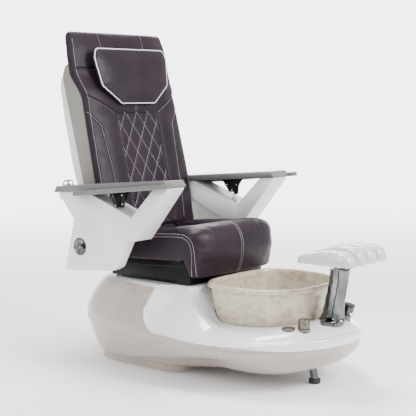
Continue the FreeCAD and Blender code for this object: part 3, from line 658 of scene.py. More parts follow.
def lower_shell():
    """The hull below the seam, running down into the plinth."""
    crossings = [(step / 54) ** 2.2 for step in range(55)]
    rings = [[hull_point(turn, cross) for turn in TURNS] for cross in crossings]
    lip = [[point + Vector((0, 0, -0.002)) for point in rings[0]]]
    foot = []
    for inset, z in ((0.0015, PLINTH_Z - 0.006), (0.002, 0.004), (0.004, 0.0), (0.010, 0.0)):
        foot.append([chair(*plinth_outline(turn, inset), z) for turn in TURNS])
    centre = chair(0, -0.1, 0)
    seal = [[point + (Vector((centre.x, centre.y, point.z)) - point).normalized() * 0.02 for point in lip[0]]]
    hull = loft("lower_shell_skin", seal + lip + rings[1:] + foot, caps=False, sharp=40)
    port = [(0.560, 0.106), (0.720, 0.106), (0.720, 0.154), (0.560, 0.154)]
    cut(hull, loft("port", [[chair(x, y, z) for y, z in port] for x in (-0.112, -0.018)]))
    return dress(hull, "base", "gelcoat_hull", "lower_shell")


def basin():
    """The marbled bowl: outer wall, rolled lip, inner wall and a dished floor."""
    under = BASIN_RIM_Z - BASIN_LIP
    foot = basin_inset(BASIN_FLOOR_Z)
    outer = [(foot + 0.03, BASIN_FLOOR_Z), (foot, BASIN_FLOOR_Z + 0.002)]
    for step in range(1, 25):
        z = BASIN_FLOOR_Z + (under - BASIN_FLOOR_Z) * (step / 24) ** 1.2
        outer.append((basin_inset(z), z))
    outer.append((0.006, under + 0.001))
    lip = [(0.001, under + 0.004), (0.0, under + 0.010), (0.001, under + 0.017), (0.004, under + 0.022),
           (0.009, BASIN_RIM_Z), (0.014, BASIN_RIM_Z - 0.0005), (0.018, BASIN_RIM_Z - 0.004),
           (0.020, BASIN_RIM_Z - 0.010)]
    inner = []
    for step in range(25):
        z = under - 0.002 - (under - BASIN_FLOOR_Z - 0.030) * (step / 24)
        inner.append((basin_inset(z) + SHELL, z))
    turn_in, deep = basin_inset(BASIN_FLOOR_Z + 0.028) + SHELL, BASIN_FLOOR_Z + 0.028
    for step in range(1, 9):
        angle = math.pi / 2 * step / 8
        inner.append((turn_in + 0.030 * (1 - math.cos(angle)), deep - 0.022 * math.sin(angle)))
    inner += [(0.130, BASIN_FLOOR_Z + SHELL), (0.180, BASIN_FLOOR_Z + SHELL - 0.0005)]
    rings = [[chair(*basin_outline(turn, inset), z) for turn in TURNS] for inset, z in outer + lip + inner]
    bowl = loft("basin_bowl", rings, sharp=60)
    return dress(bowl, "base", "basin_pearl", "basin")


# ---- on the deck --------------------------------------------------------------------
def column():
    """Curved chrome column: two fins with a groove between them, waisted above the flange."""
    stations = [(0.285, -0.638, 0.060, 0.040), (0.293, -0.640, 0.053, 0.033), (0.320, -0.645, 0.048, 0.029),
                (0.360, -0.651, 0.045, 0.027), (0.410, -0.661, 0.043, 0.026), (0.455, -0.669, 0.043, 0.026),
                (0.498, -0.674, 0.043, 0.030)]
    rings = []
    for height in range(33):
        z = 0.285 + 0.213 * height / 32
        y = between([(s[0], s[1]) for s in stations], z)
        deep = between([(s[0], s[2]) for s in stations], z)
        wide = between([(s[0], s[3]) for s in stations], z)
        ring = []
        for step in range(96):
            turn = step / 96
            x, forward = superellipse(turn, wide, -deep, 0.0, deep, 2.3, 2.3)
            groove = math.exp(-((forward + 0.004) / 0.0065) ** 2) * 0.010
            ring.append(chair(math.copysign(max(0.0, abs(x) - groove), x), y + forward, z))
        rings.append(ring)
    piece = loft("column_fins", rings, sharp=50)
    return dress(piece, "base", "chrome", "footrest_column")


def column_flange():
    """The leaf-shaped plate, domed towards the column."""
    outline = []
    for side in (-1, 1):
        for step in range(28):
            x = -side * 0.0795 * math.cos(math.pi * step / 28)
            half = max(0.0, math.sqrt(0.095 ** 2 - x * x) - 0.052)
            outline.append((x, side * half))
    rings = []
    for share, z in ((1.0, 0.2605), (1.0, 0.2815), (0.985, 0.2845), (0.95, 0.2862), (0.86, 0.2875),
                     (0.74, 0.291), (0.62, 0.296)):
        rings.append([chair(x * share, COLUMN_Y + y * share, z) for x, y in outline])
    piece = loft("column_leaf", rings, sharp=50)
    return dress(piece, "base", "chrome", "column_flange")


LOBES = [(-0.1165, 0.050), (-0.0390, 0.061), (0.0390, 0.061), (0.1165, 0.059)]
PAD_REAR, PAD_LENGTH, PAD_UNDER_Z = -0.556, 0.258, 0.532


def lobe(centre, height):
    """One pebble of the footrest: flat underneath, low at the rear and rounded at the front."""
    rings = []
    for step in range(49):
        t = 0.5 - 0.5 * math.cos(math.pi * step / 48)
        rear, front = min(1.0, t / 0.16), min(1.0, (1 - t) / 0.26)
        ends = math.sqrt(1 - (1 - rear) ** 2.4) * (1 - (1 - front) ** 2.6) ** 0.55
        tall = height * (0.55 + 0.45 * smooth_step(t / 0.58)) * max(0.16, ends)
        wide = 0.0425 * max(0.30, (1 - (1 - rear) ** 2.6) ** 0.4 * (1 - (1 - front) ** 3.0) ** 0.4)
        ring = []
        for k in range(44):
            angle = 2 * math.pi * k / 44
            cosine, sine = math.cos(angle), math.sin(angle)
            x = centre + wide * math.copysign(abs(cosine) ** 0.62, cosine)
            lift = tall * sine ** 0.85 if sine >= 0 else -0.010 * abs(sine) ** 0.3
            ring.append(chair(x, PAD_REAR - PAD_LENGTH * t, PAD_UNDER_Z + 0.011 + lift))
        rings.append(ring)
    return loft("lobe", rings, sharp=60)


def footrest():
    """Four glossy lobes side by side, remeshed into one smooth piece."""
    whole = joined("footrest_lobes", [lobe(*each) for each in LOBES])
    skin = whole.modifiers.new("skin", "REMESH")
    skin.mode, skin.voxel_size = "VOXEL", 0.0022
    soften = whole.modifiers.new("soften", "SMOOTH")
    soften.factor, soften.iterations = 0.5, 3
    settle(whole)
    tidy_mesh(whole, 80)
    whole.data.materials.append(FINISHES["pad_white"])
    whole.data.materials.append(FINISHES["roller_plastic"])
    for polygon in whole.data.polygons:
        polygon.material_index = 1 if polygon.center.z < PAD_UNDER_Z + 0.0035 else 0
    return dress(whole, "footrest", "pad_white", "footrest_pads")


def footrest_pips(pads):
    """Rows of small massage pips moulded on top of the lobes."""
    tree = surface(pads)
    pieces = []
    for centre, _ in LOBES:
        for row in range(5):
            for line in (-1, 1):
                place = chair(centre + 0.012 * line, -0.640 - 0.016 * row, 0.70)
                hit, normal, _, _ = tree.ray_cast(place, Vector((0, 0, -1)))
                pieces.append(turned("pip", [(0.0055, -0.002), (0.0052, 0.0006), (0.0038, 0.0020),
                                             (0.0016, 0.0027)], hit, normal, 14))
    pips = joined("footrest_pips", pieces)
    return dress(pips, "footrest", "pad_white")


def knob():
    """The mixer knob, with a small peg on its side."""
    place = chair(*KNOB)
    profile = [(0.007, -0.018), (0.008, 0.0025), (0.0215, 0.003), (0.0232, 0.004), (0.0238, 0.006),
               (0.0238, 0.034), (0.0232, 0.0375), (0.0210, 0.0398), (0.0165, 0.0408), (0.0158, 0.0400),
               (0.0060, 0.0398), (0.001, 0.0398)]
    cap = turned("mixer_knob_cap", profile, place, (0, 0, 1), 72)
    dimple = turned("dimple", [(0.004, 0.0), (0.004, 0.006)], place + Vector((-0.016, -0.020, 0.020)),
                    (-0.62, -0.78, 0), 20)
    return dress(joined("mixer_knob_cap", [cap, dimple]), "knob", "nickel", "mixer_knob")


def button():
    """The dished air button."""
    profile = [(0.0165, -0.004), (0.0168, 0.005), (0.0160, 0.0068), (0.0140, 0.0075), (0.0115, 0.0064),
               (0.0100, 0.0060), (0.001, 0.0062)]
    cap = turned("air_button_cap", profile, chair(*BUTTON), (0, 0, 1))
    return dress(cap, "button", "nickel", "air_button")


def trims():
    """Knob collar, button bezel and shower socket."""
    collar = turned("collar", [(0.0085, -0.010), (0.0248, -0.010), (0.0248, 0.0012), (0.0240, 0.0020),
                               (0.0085, 0.0020)], chair(*KNOB), (0, 0, 1))
    bezel = turned("bezel", [(0.0178, -0.012), (0.0268, -0.012), (0.0270, 0.002), (0.0262, 0.0042),
                             (0.0240, 0.0056), (0.0200, 0.0056), (0.0182, 0.0042), (0.0178, -0.0095)],
                   chair(*BUTTON), (0, 0, 1))
    socket = turned("socket", [(0.0158, 0.0), (0.0228, 0.0), (0.0230, 0.006), (0.0212, 0.009),
                               (0.0205, 0.020), (0.0218, 0.023), (0.0216, 0.0258), (0.0200, 0.0268),
                               (0.0158, 0.0268), (0.0156, 0.0030)],
                    chair(*SHOWER), SHOWER_AXIS)
    return dress(joined("deck_trims", [collar, bezel, socket]), "base", "nickel",
                 "deck_trim_rings")


def hand_shower():
    """Chrome hand shower with a grooved head and a black rim."""
    start, axis = chair(*SHOWER), SHOWER_AXIS
    profile = [(0.0145, 0.004), (0.0150, 0.008), (0.0150, 0.028), (0.0140, 0.032), (0.0125, 0.035),
               (0.0130, 0.038), (0.0215, 0.040), (0.0240, 0.043), (0.0248, 0.047), (0.0248, 0.050),
               (0.0232, 0.0515), (0.0232, 0.0530), (0.0248, 0.0545), (0.0248, 0.0670), (0.0240, 0.0685)]
    body = turned("shower_body", profile, start, axis, 72)
    dress(body, "hand_shower", "chrome", "hand_shower")
    rim = turned("shower_rim", [(0.0238, 0.0680), (0.0250, 0.0688), (0.0250, 0.0735), (0.0234, 0.0755),
                                (0.0200, 0.0757), (0.0190, 0.0745), (0.001, 0.0743)], start, axis, 72)
    dress(rim, "hand_shower", "rubber")


def front_leg():
    """A flat chrome bar, slanted forward to its rubber foot."""
    rings = []
    for height in (0.0200, 0.0205, 0.0590, 0.0980):
        y = -0.554 + 0.020 * (height - 0.020) / 0.078
        rings.append([chair(x, y + deep, height) for x, deep in rounded_pairs(0.016, 0.011, 0.004)])
    return dress(loft("front_leg_bar", rings), "base", "chrome", "front_leg")


def rounded_pairs(half_x, half_y, radius):
    """A rounded rectangle as (x, y) pairs."""
    corners = [(-half_x, -half_y), (half_x, -half_y), (half_x, half_y), (-half_x, half_y)]
    return [(point.x, point.y) for point in rounded_outline(corners, radius)]


# ---- seat unit ----------------------------------------------------------------------
ARM_OUTER, ARM_INNER = 0.419, 0.312
LOWER_OUTER, LOWER_INNER = 0.414, 0.372


def arm_line(y):
    """Underside of the armrest."""
    return 0.828 - 0.0835 * (y + 0.105)


ARM_PANEL = [(0.568, arm_line(0.568)), (0.388, arm_line(0.388)), (0.112, 0.691), (-0.020, arm_line(-0.020)),
             (-0.102, arm_line(-0.102)), (0.091, 0.590), (0.121, 0.586), (0.552, 0.743)]
LOWER_PANEL = [(0.549, 0.7415), (0.472, 0.657), (0.533, 0.419), (0.236, 0.447), (0.198, 0.464),
               (0.134, 0.5805), (0.150, 0.5960)]
SIDES = (("right", -1), ("left", 1))


def arms():
    """White Y panels, grey armrests, drop-leaf trays and lower panels on both sides."""
    for name, side in SIDES:
        panel = slab("arm_y_" + name, ARM_PANEL, side * ARM_INNER, side * ARM_OUTER, 0.006, 0.0045)
        dress(panel, "seat", "panel_white", "arm_panel_" + name)
        outline = rounded_outline(LOWER_PANEL, [0.004, 0.004, 0.010, 0.03, 0.03, 0.006, 0.006], 4)
        lower = loft("lower_side_" + name, [[chair(side * x, p.x, p.y) for p in outline]
                                            for x in (LOWER_INNER, LOWER_OUTER)])
        cup = turned("cup", [(0.0402, -0.03), (0.0402, 0.006)], (side * LOWER_OUTER, PIVOT.y, PIVOT.z),
                     (-side, 0, 0))
        lower = bevelled(cut(lower, cup), 0.0035)
        dress(lower, "seat", "panel_white", "lower_panel_" + name)
        board = [(0.574, arm_line(0.574) + 0.029), (-0.084, arm_line(-0.084) + 0.030),
                 (-0.105, arm_line(-0.105) + 0.001), (0.590, arm_line(0.590) + 0.001)]
        rest = slab("armrest_board_" + name, board, side * 0.306, side * 0.425, 0.004, 0.003)
        dress(rest, "seat", "armrest_grey", "armrest_" + name)
        tray(name, side)
        disc(name, side)
    brackets()


def tray(name, side):
    """A drop-leaf board beside the armrest: round hinge edge, and softened outer corners."""
    hinge, high, thick = 0.437, 0.471, 0.0099
    angles = [math.pi * (0.5 + k / 14) for k in range(15)]
    section = [(hinge + thick * math.cos(angle), thick * math.sin(angle)) for angle in angles]
    section += [(p.x, p.y) for p in rounded_outline([(hinge, -thick), (high, -thick), (high, thick),
                                                     (hinge, thick)], 0.0035, 5)[6:18]]
    rings = []
    for step in range(41):
        y = -0.129 + 0.560 * step / 40
        corner = max(0.0, 1 - min(y + 0.129, 0.431 - y) / 0.014)
        reach = 1 - 0.40 * (1 - math.sqrt(max(0.0, 1 - corner ** 2)))
        z = 0.840 - 0.1143 * (y + 0.129)
        rings.append([chair(side * (hinge + (x - hinge) * (reach if x > hinge else 1)), y, z + lift)
                      for x, lift in section])
    board = bevelled(loft("side_board_" + name, rings), 0.0015, 2)
    dress(board, "tray_" + name, "armrest_grey", "side_tray_" + name)


def disc(name, side):
    """Dished chrome cap over the recline pivot, with its small turning lever."""
    start, axis = Vector((side * (LOWER_OUTER - 0.006), PIVOT.y, PIVOT.z)), (side, 0, 0)
    cap = turned("pivot_cap_" + name, [(0.0055, 0.0), (0.0395, 0.0), (0.0398, 0.006), (0.0390, 0.0075),
                                       (0.0370, 0.0082), (0.0345, 0.0078), (0.0325, 0.0055), (0.0290, 0.0032),
                                       (0.0150, 0.0028), (0.0055, 0.0028)], start, axis, 72)
    dress(cap, "seat", "chrome", "latch_discs")
    hub = turned("hub", [(0.0048, -0.001), (0.0048, 0.004), (0.0105, 0.0045), (0.0110, 0.0055),
                         (0.0110, 0.0105), (0.0100, 0.0118), (0.001, 0.0120)], start, axis, 40)
    bar = rounded_outline([(-0.026, -0.0045), (0.004, -0.0055), (0.004, 0.0055), (-0.026, 0.0045)], 0.004, 5)
    rings = [[start + Vector((side * (0.0062 + lift), p.x, p.y)) for p in bar] for lift in (0.0, 0.0065)]
    lever = joined("pivot_lever_" + name, [hub, bevelled(loft("tab", rings), 0.0012)])
    dress(lever, "lever_" + name, "chrome", "latch_lever_" + name)


def brackets():
    """Folded black brackets under the armrests: a drop plate, a stay, a hinge strip and bolts."""
    pieces, bolts = [], []
    for _, side in SIDES:
        top = arm_line(0.2)
        plate = [(0.138, arm_line(0.138) - 0.002), (0.268, arm_line(0.268) - 0.002), (0.222, 0.7375),
                 (0.188, 0.7375)]
        pieces.append(slab("plate", plate, side * 0.383, side * 0.387, 0.005, 0.0010))
        drop = [(0.166, top + 0.002), (0.196, top), (0.200, 0.727), (0.176, 0.727)]
        pieces.append(slab("drop", drop, side * 0.392, side * 0.397, 0.005, 0.0012))
        stay = [(0.232, arm_line(0.232) - 0.001), (0.246, arm_line(0.246) - 0.001), (0.206, 0.729),
                (0.190, 0.729)]
        pieces.append(slab("stay", stay, side * 0.401, side * 0.406, 0.004, 0.0012))
        second = [(y + 0.010, z) for y, z in stay]
        pieces.append(slab("stay", second, side * 0.412, side * 0.416, 0.004, 0.0012))
        strip = [(0.16, arm_line(0.16) - 0.0005), (0.40, arm_line(0.40) - 0.0005),
                 (0.40, arm_line(0.40) - 0.007), (0.16, arm_line(0.16) - 0.005)]
        pieces.append(slab("strip", strip, side * 0.386, side * 0.4235, 0, 0.001))
        pin = chair(side * 0.390, 0.196, 0.733)
        pieces.append(turned("pin", [(0.004, 0.0), (0.004, 0.032)], pin, (side, 0, 0), 16))
        for y, z in ((0.176, 0.775), (0.236, 0.772), (0.205, 0.746)):
            profile = [(0.0045, -0.001), (0.0045, 0.0016), (0.0034, 0.0024), (0.001, 0.0024)]
            bolts.append(turned("bolt", profile, chair(side * 0.383, y, z), (-side, 0, 0), 18))
        for x, y, z in ((0.397, 0.186, 0.781), (0.397, 0.184, 0.742), (0.416, 0.206, 0.735),
                        (0.416, 0.247, 0.782), (0.4235, 0.350, arm_line(0.35) - 0.0035),
                        (0.4235, 0.290, arm_line(0.29) - 0.0035)):
            size = 0.0045 if x < 0.42 else 0.0022
            profile = [(size, -0.001), (size, 0.0018), (size * 0.75, 0.0028), (0.001, 0.0028)]
            bolts.append(turned("bolt", profile, chair(side * x, y, z), (side, 0, 0), 18))
    folded = joined("tray_bracket_plates", pieces)
    dress(folded, "seat", "bracket_black", "tray_brackets")
    dress(joined("tray_bracket_bolts", bolts), "seat", "zinc_steel")


def remote_loop():
    """Two small black wire hoops for the remote control at the rear of the right armrest."""
    y_mid, z_low = 0.557, arm_line(0.557) + 0.0292
    pieces = []
    for x in (-0.380, -0.352):
        path = []
        for k in range(25):
            angle = math.pi * k / 24
            path.append(chair(x, y_mid - 0.0175 * math.cos(angle),
                              z_low + 0.003 + 0.0195 * math.sin(angle)))
        pieces.append(swept("hoop", path, 0.0027, 10))
    base = [(0.536, z_low), (0.578, z_low), (0.578, z_low + 0.003), (0.536, z_low + 0.003)]
    pieces.append(slab("plate", base, -0.385, -0.345, 0, 0.001))
    tie = chair(-0.380, y_mid, z_low + 0.0225)
    ties = [tie + Vector((offset, 0, 0)) for offset in (0, 0.014, 0.028)]
    pieces.append(swept("tie", ties, 0.0018, 10))
    dress(joined("remote_hoop", pieces), "seat", "black_plastic", "remote_holder")


def rail_box():
    """Gloss black box with a raised rail along its side."""
    corners = [(-0.076, 0.3972), (0.395, 0.3972), (0.395, 0.472), (-0.020, 0.499), (-0.050, 0.494),
               (-0.076, 0.450)]
    shell = slab("rail_box_body", corners, -0.252, 0.252, [0.002, 0.002, 0.002, 0.02, 0.03, 0.03], 0.002)
    space = [(-0.073, 0.4002), (0.392, 0.4002), (0.392, 0.52), (-0.073, 0.52)]
    cut(shell, slab("room", space, -0.249, 0.249, 0, 0.0005))
    dress(shell, "base", "black_gloss", "rail_box")
    for name, side in SIDES:
        strip = [(-0.040, 0.478), (0.385, 0.458), (0.385, 0.450), (-0.040, 0.470)]
        rail = slab("rail_box_trim_" + name, strip, side * 0.2518, side * 0.2548, 0.003, 0.0012)
        dress(rail, "base", "black_gloss")


# ---- backrest shells ----------------------------------------------------------------
SIDE_SHELL = [(0.043, 0.024), (0.043, 0.668), (0.010, 0.790), (0.006, 0.842), (-0.030, 0.836),
              (-0.057, 0.795), (-0.059, 0.775), (-0.041, 0.290), (-0.038, -0.018), (0.030, -0.018)]


def side_shell():
    """The grey shell round the edge of the back."""
    radii = [0.006, 0.03, 0.02, 0.012, 0.030, 0.020, 0.010, 0.05, 0.008, 0.008]
    outline = rounded_outline(SIDE_SHELL, radii, 6)
    rings = [[back_point(x, p.y, p.x) for p in outline] for x in (-0.292, 0.292)]
    shell = bevelled(loft("back_side_skin", rings), 0.008, 4)
    inner = [(0.060, -0.030), (0.060, 0.676), (0.006, 0.788), (0.002, 0.836), (-0.028, 0.831),
             (-0.053, 0.792), (-0.120, 0.772), (-0.120, -0.030)]
    hollow = loft("hollow", [[back_point(x, s, n) for n, s in inner] for x in (-0.288, 0.288)])
    cut(shell, hollow)
    dress(shell, "backrest", "shell_grey", "back_side_shell")


def rear_cover():
    """The white cover that closes the back, crowned, with two joint lines across it."""
    depth = [(-0.034, 0.0475), (-0.015, 0.064), (0.000, 0.076), (0.016, 0.0865), (0.250, 0.096),
             (0.400, 0.106), (0.600, 0.107), (0.735, 0.097), (0.788, 0.080), (0.800, 0.058)]
    front = [(-0.034, 0.0405), (0.290, 0.0430), (0.776, 0.0610), (0.800, 0.0575)]
    rings = []
    for step in range(73):
        s = -0.034 + 0.834 * step / 72
        rear, low = between(depth, s), between(front, s)
        for joint in (0.500, 0.560):
            rear -= 0.003 * math.exp(-((s - joint) / 0.004) ** 2)
        end = 0.014 * max(0.0, 1 - (0.800 - s) / 0.03) ** 2
        half = 0.286 - end
        outline = rounded_outline([(-half, -low), (half, -low), (half, -rear), (-half, -rear)],
                                  [0.002, 0.002, 0.024, 0.024], 7)
        rings.append([back_point(p.x, s, p.y - 0.006 * max(0.0, 1 - (p.x / 0.26) ** 2)
                                 * (1 if p.y < -(low + rear) / 2 else 0)) for p in outline])
    cover = loft("back_cover_skin", rings, sharp=50)
    dress(cover, "backrest", "cover_white", "back_rear_cover")


# ---- upholstery ---------------------------------------------------------------------
def surface(piece):
    """A piece's faces, for casting rays and finding the nearest point."""
    return BVHTree.FromPolygons([v.co.copy() for v in piece.data.vertices],
                                [tuple(p.vertices) for p in piece.data.polygons])


DROP_REACH = 0.25


def dropped(tree, path, direction):
    """A path laid onto a surface along a direction."""
    laid = []
    for point in path:
        hit = tree.ray_cast(point - direction * DROP_REACH, direction)[0]
        laid.append(tree.find_nearest(point)[0] if hit is None else hit)
    return laid


def point_tree(paths):
    """Points along some paths, for finding the nearest one."""
    points = [point for path in paths for point in along(path, 0.003)]
    tree = KDTree(len(points))
    for index, point in enumerate(points):
        tree.insert(point, index)
    tree.balance()
    return tree


CLOTH_FRAMES, SEAM_REACH = 20, 0.0055


def stuff(piece, seams, held, voxel, pressure, cap):
    """Swell a closed cushion with cloth, held at its seams and wherever held(point) is true."""
    skin = piece.modifiers.new("skin", "REMESH")
    skin.mode, skin.voxel_size = "VOXEL", voxel
    settle(piece)
    tree = point_tree(seams)
    group = piece.vertex_groups.new(name="held")
    start = [vertex.co.copy() for vertex in piece.data.vertices]
    fixed = [index for index, point in enumerate(start)
             if held(point) or tree.find(point)[2] < SEAM_REACH]
    group.add(fixed, 1.0, "REPLACE")
    cloth = piece.modifiers.new("cloth", "CLOTH")
    cloth.settings.use_pressure = True
    cloth.settings.uniform_pressure_force = pressure
    cloth.settings.effector_weights.gravity = 0
    cloth.settings.vertex_group_mass = "held"
    cloth.settings.quality = 4
    cloth.point_cache.frame_start, cloth.point_cache.frame_end = 1, CLOTH_FRAMES
    scene = bpy.context.scene
    for number in range(1, CLOTH_FRAMES + 1):
        scene.frame_set(number)
    settle(piece)
    scene.frame_set(1)
    for vertex, rest in zip(piece.data.vertices, start):
        moved = vertex.co - rest
        if moved.length > cap:
            vertex.co = rest + moved.normalized() * cap
    piece.vertex_groups.clear()
    soften = piece.modifiers.new("soften", "SMOOTH")
    soften.factor, soften.iterations = 0.5, 3
    finer = piece.modifiers.new("finer", "SUBSURF")
    finer.levels = finer.render_levels = 1
    settle(piece)
    tidy_mesh(piece, 80)
    return piece


def groove(piece, seams, depth, reach):
    """Press narrow valleys into the surface along the seams."""
    tree = point_tree(seams)
    normals = [vertex.normal.copy() for vertex in piece.data.vertices]
    for vertex, normal in zip(piece.data.vertices, normals):
        away = tree.find(vertex.co)[2]
        if away < reach:
            vertex.co -= normal * depth * (1 - (away / reach) ** 2) ** 2
    piece.data.update()


def stitches(name, piece, paths, body, dash, gap, radius):
    """Rows of thread laid on a piece's surface, one small capsule for each stitch."""
    tree = surface(piece)
    points, faces = [], []
    for path in paths:
        row = along(path, (dash + gap) / 2)
        for start, end in zip(row[0::2], row[1::2]):
            low, normal, _, _ = tree.find_nearest(start)
            high, _, _, _ = tree.find_nearest(end)
            if low is None or (high - low).length < 1e-5:
                continue
            axis = (high - low).normalized()
            reach = dash / 2
            middle = (low + high) / 2 + normal * radius * 0.45
            side = axis.cross(normal).normalized()
            first = len(points)
            for share, wide in ((-1.0, 0.35), (-0.75, 0.95), (0.75, 0.95), (1.0, 0.35)):
                for k in range(6):
                    angle = math.pi * k / 3
                    points.append(middle + axis * reach * share + (side * math.cos(angle)
                                  + normal * math.sin(angle)) * radius * wide)
            for face in loft_faces(4, 6):
                faces.append(tuple(first + index for index in face))
    rows = make(name, points, faces, 80)
    return dress(rows, body, "leather", material=THREAD)


# the back: half width, front and rear faces against height up the back
BACK_LOW, BACK_HIGH = 0.036, 0.980
BACK_WIDTH = [(0.058, 0.302), (0.300, 0.308), (0.500, 0.304), (0.600, 0.301), (0.668, 0.296),
              (0.705, 0.308), (0.790, 0.320), (0.850, 0.319), (0.980, 0.309)]
BACK_FRONT = [(0.058, 0.080), (0.200, 0.086), (0.583, 0.083), (0.660, 0.084), (0.790, 0.060),
              (0.900, 0.062), (0.980, 0.052)]
BACK_REAR = [(0.058, 0.0450), (0.668, 0.0450), (0.790, 0.0135), (0.950, 0.0150), (0.980, 0.0200)]
QUILT_TOP, QUILT_HALF = 0.588, 0.136
DIAMOND_WIDE, DIAMOND_TALL = 0.078, 0.126


def back_relief(x, s):
    """How far the front stands out beyond its stitched edge."""
    edge = smooth_step((back_width(s) - abs(x)) / 0.090)
    ridge = 0.007 * math.exp(-((abs(x) - 0.178) / 0.040) ** 2) * smooth_step((0.60 - s) / 0.05)
    return 0.012 * edge + ridge


def back_width(s):
    return between(BACK_WIDTH, s)


def back_surface(x, s):
    return back_point(x, s, between(BACK_FRONT, s) + back_relief(x, s))


def back_rings():
    """Rings up the back cushion, drawn in at both ends."""
    rings = []
    low, high, ease = BACK_LOW, BACK_HIGH, 0.016
    ends = [(ease * (1 - math.cos(a)), ease * (1 - math.sin(a))) for a in (0, 0.4, 0.8, 1.2, 1.57)]
    stations = [(low + climb, inset) for climb, inset in ends]
    stations += [(low + ease + (high - low - 2 * ease) * k / 64, 0.0) for k in range(1, 64)]
    stations += [(high - climb, inset) for climb, inset in reversed(ends)]
    for s, inset in stations:
        half = back_width(s) - inset
        front, rear = between(BACK_FRONT, s) - inset, between(BACK_REAR, s) + inset
        corners = [(-half, rear), (half, rear), (half, front), (-half, front)]
        outline = rounded_outline(corners, [0.010, 0.010, 0.014, 0.014], 6)
        ring = []
        for begin, end in zip(outline, outline[1:] + outline[:1]):
            count = max(1, round((end - begin).length / 0.012)) if (end - begin).length > 0.1 else 1
            for step in range(count):
                p = begin.lerp(end, step / count)
                share = smooth_step((p.y - (rear + front) / 2) / max(0.001, (front - rear) / 2))
                relief = back_relief(p.x, s) * share * (1 if inset < 0.004 else 0.4)
                ring.append(back_point(p.x, s, p.y + relief))
        rings.append(ring)
    count = min(len(ring) for ring in rings)
    return [ring if len(ring) == count else resampled(ring, count) for ring in rings]


def resampled(ring, count):
    """A closed ring with count points spaced evenly."""
    total = sum((b - a).length for a, b in zip(ring, ring[1:] + ring[:1]))
    return along(ring, total / count * 0.99999, closed=True)[:count]


def on_back(path):
    """A list of (x, s) corners as points just on the front of the back."""
    points = []
    for (x0, s0), (x1, s1) in zip(path, path[1:]):
        count = max(2, int(math.hypot(x1 - x0, s1 - s0) / 0.006))
        points += [back_surface(x0 + (x1 - x0) * k / count, s0 + (s1 - s0) * k / count)
                   for k in range(count)]
    return points + [back_surface(*path[-1])]


def both(path):
    """A path and its mirror image."""
    return [path, [(-x, s) for x, s in path]]


def quilt_lines():
    """The crossing lines that quilt the middle of the back into diamonds."""
    lines = []
    slope = DIAMOND_WIDE / DIAMOND_TALL
    for start in range(-12, 13):
        for way in (-1, 1):
            inside = []
            for step in range(0, 106):
                s = QUILT_TOP - 0.005 * step
                x = start * DIAMOND_WIDE + way * slope * (QUILT_TOP - s)
                if abs(x) <= QUILT_HALF - 0.002:
                    inside.append((x, s))
            if len(inside) > 3:
                lines.append([inside[0], inside[-1]])
    return lines


def back_upholstery():
    """The back and its headrest in one cover, quilted, seamed and stitched."""
    cushion = loft("back_upholstery", back_rings(), sharp=80)
    edge = 0.012
    borders = both([(QUILT_HALF, QUILT_TOP), (QUILT_HALF - 0.004, 0.070)])
    borders += [[(-QUILT_HALF, QUILT_TOP), (QUILT_HALF, QUILT_TOP)]]
    borders += both([(0.290, 0.670), (QUILT_HALF, QUILT_TOP)])
    borders += [[(-0.312, 0.800), (0.312, 0.800)]]
    borders += both([(0.137, 0.974), (0.131, 0.800)])
    sides = both([(0.300, 0.596), (0.242, 0.530), (0.226, 0.360), (0.208, 0.070)])
    quilt = quilt_lines()
    rim = [[(side * (back_width(0.07 + 0.88 * k / 30) - edge), 0.07 + 0.88 * k / 30) for k in range(31)]
           for side in (-1, 1)]
    centre = both([(0.006, 0.700), (0.006, QUILT_TOP)])
    seams = [on_back(path) for path in borders + sides + quilt + rim]

    def held(point):
        s, n = back_coordinates(point)
        return n < between(BACK_FRONT, s) - 0.012
    stuff(cushion, seams, held, voxel=0.007, pressure=3.0, cap=0.016)
    tree = surface(cushion)
    inward = back_point(0, 0, 0) - back_point(0, 0, 1)

    def laid(paths):
        return [dropped(tree, on_back(path), inward) for path in paths]
    groove(cushion, laid(borders), 0.0055, 0.0085)
    groove(cushion, laid(sides), 0.0030, 0.0075)
    groove(cushion, laid(quilt), 0.0028, 0.0080)
    groove(cushion, laid(rim), 0.0015, 0.0060)
    dress(cushion, "backrest", "leather", "back_cushion", "headrest_panel")
    stitches("back_quilt_stitching", cushion, laid(quilt), "backrest", 0.0062, 0.0014, 0.0010)
    stitches("back_side_stitching", cushion, laid(sides + centre), "backrest", 0.0072, 0.0018, 0.0012)
    stitches("back_rim_stitching", cushion, laid(rim), "backrest", 0.0072, 0.0018, 0.0011)
    topstitch = both([(0.143, 0.966), (0.137, 0.806)]) + both([(0.284, 0.661), (QUILT_HALF + 0.012, 0.583)])
    stitches("back_panel_stitching", cushion, laid(topstitch), "backrest", 0.0066, 0.0022, 0.0008)


PILLOW = [(-0.228, 0.884), (0.228, 0.884), (0.245, 0.840), (0.222, 0.706), (0.112, 0.620), (-0.112, 0.620),
          (-0.222, 0.706), (-0.245, 0.840)]
PILLOW_REAR, PILLOW_EDGE, PILLOW_CROWN = 0.089, 0.122, 0.014


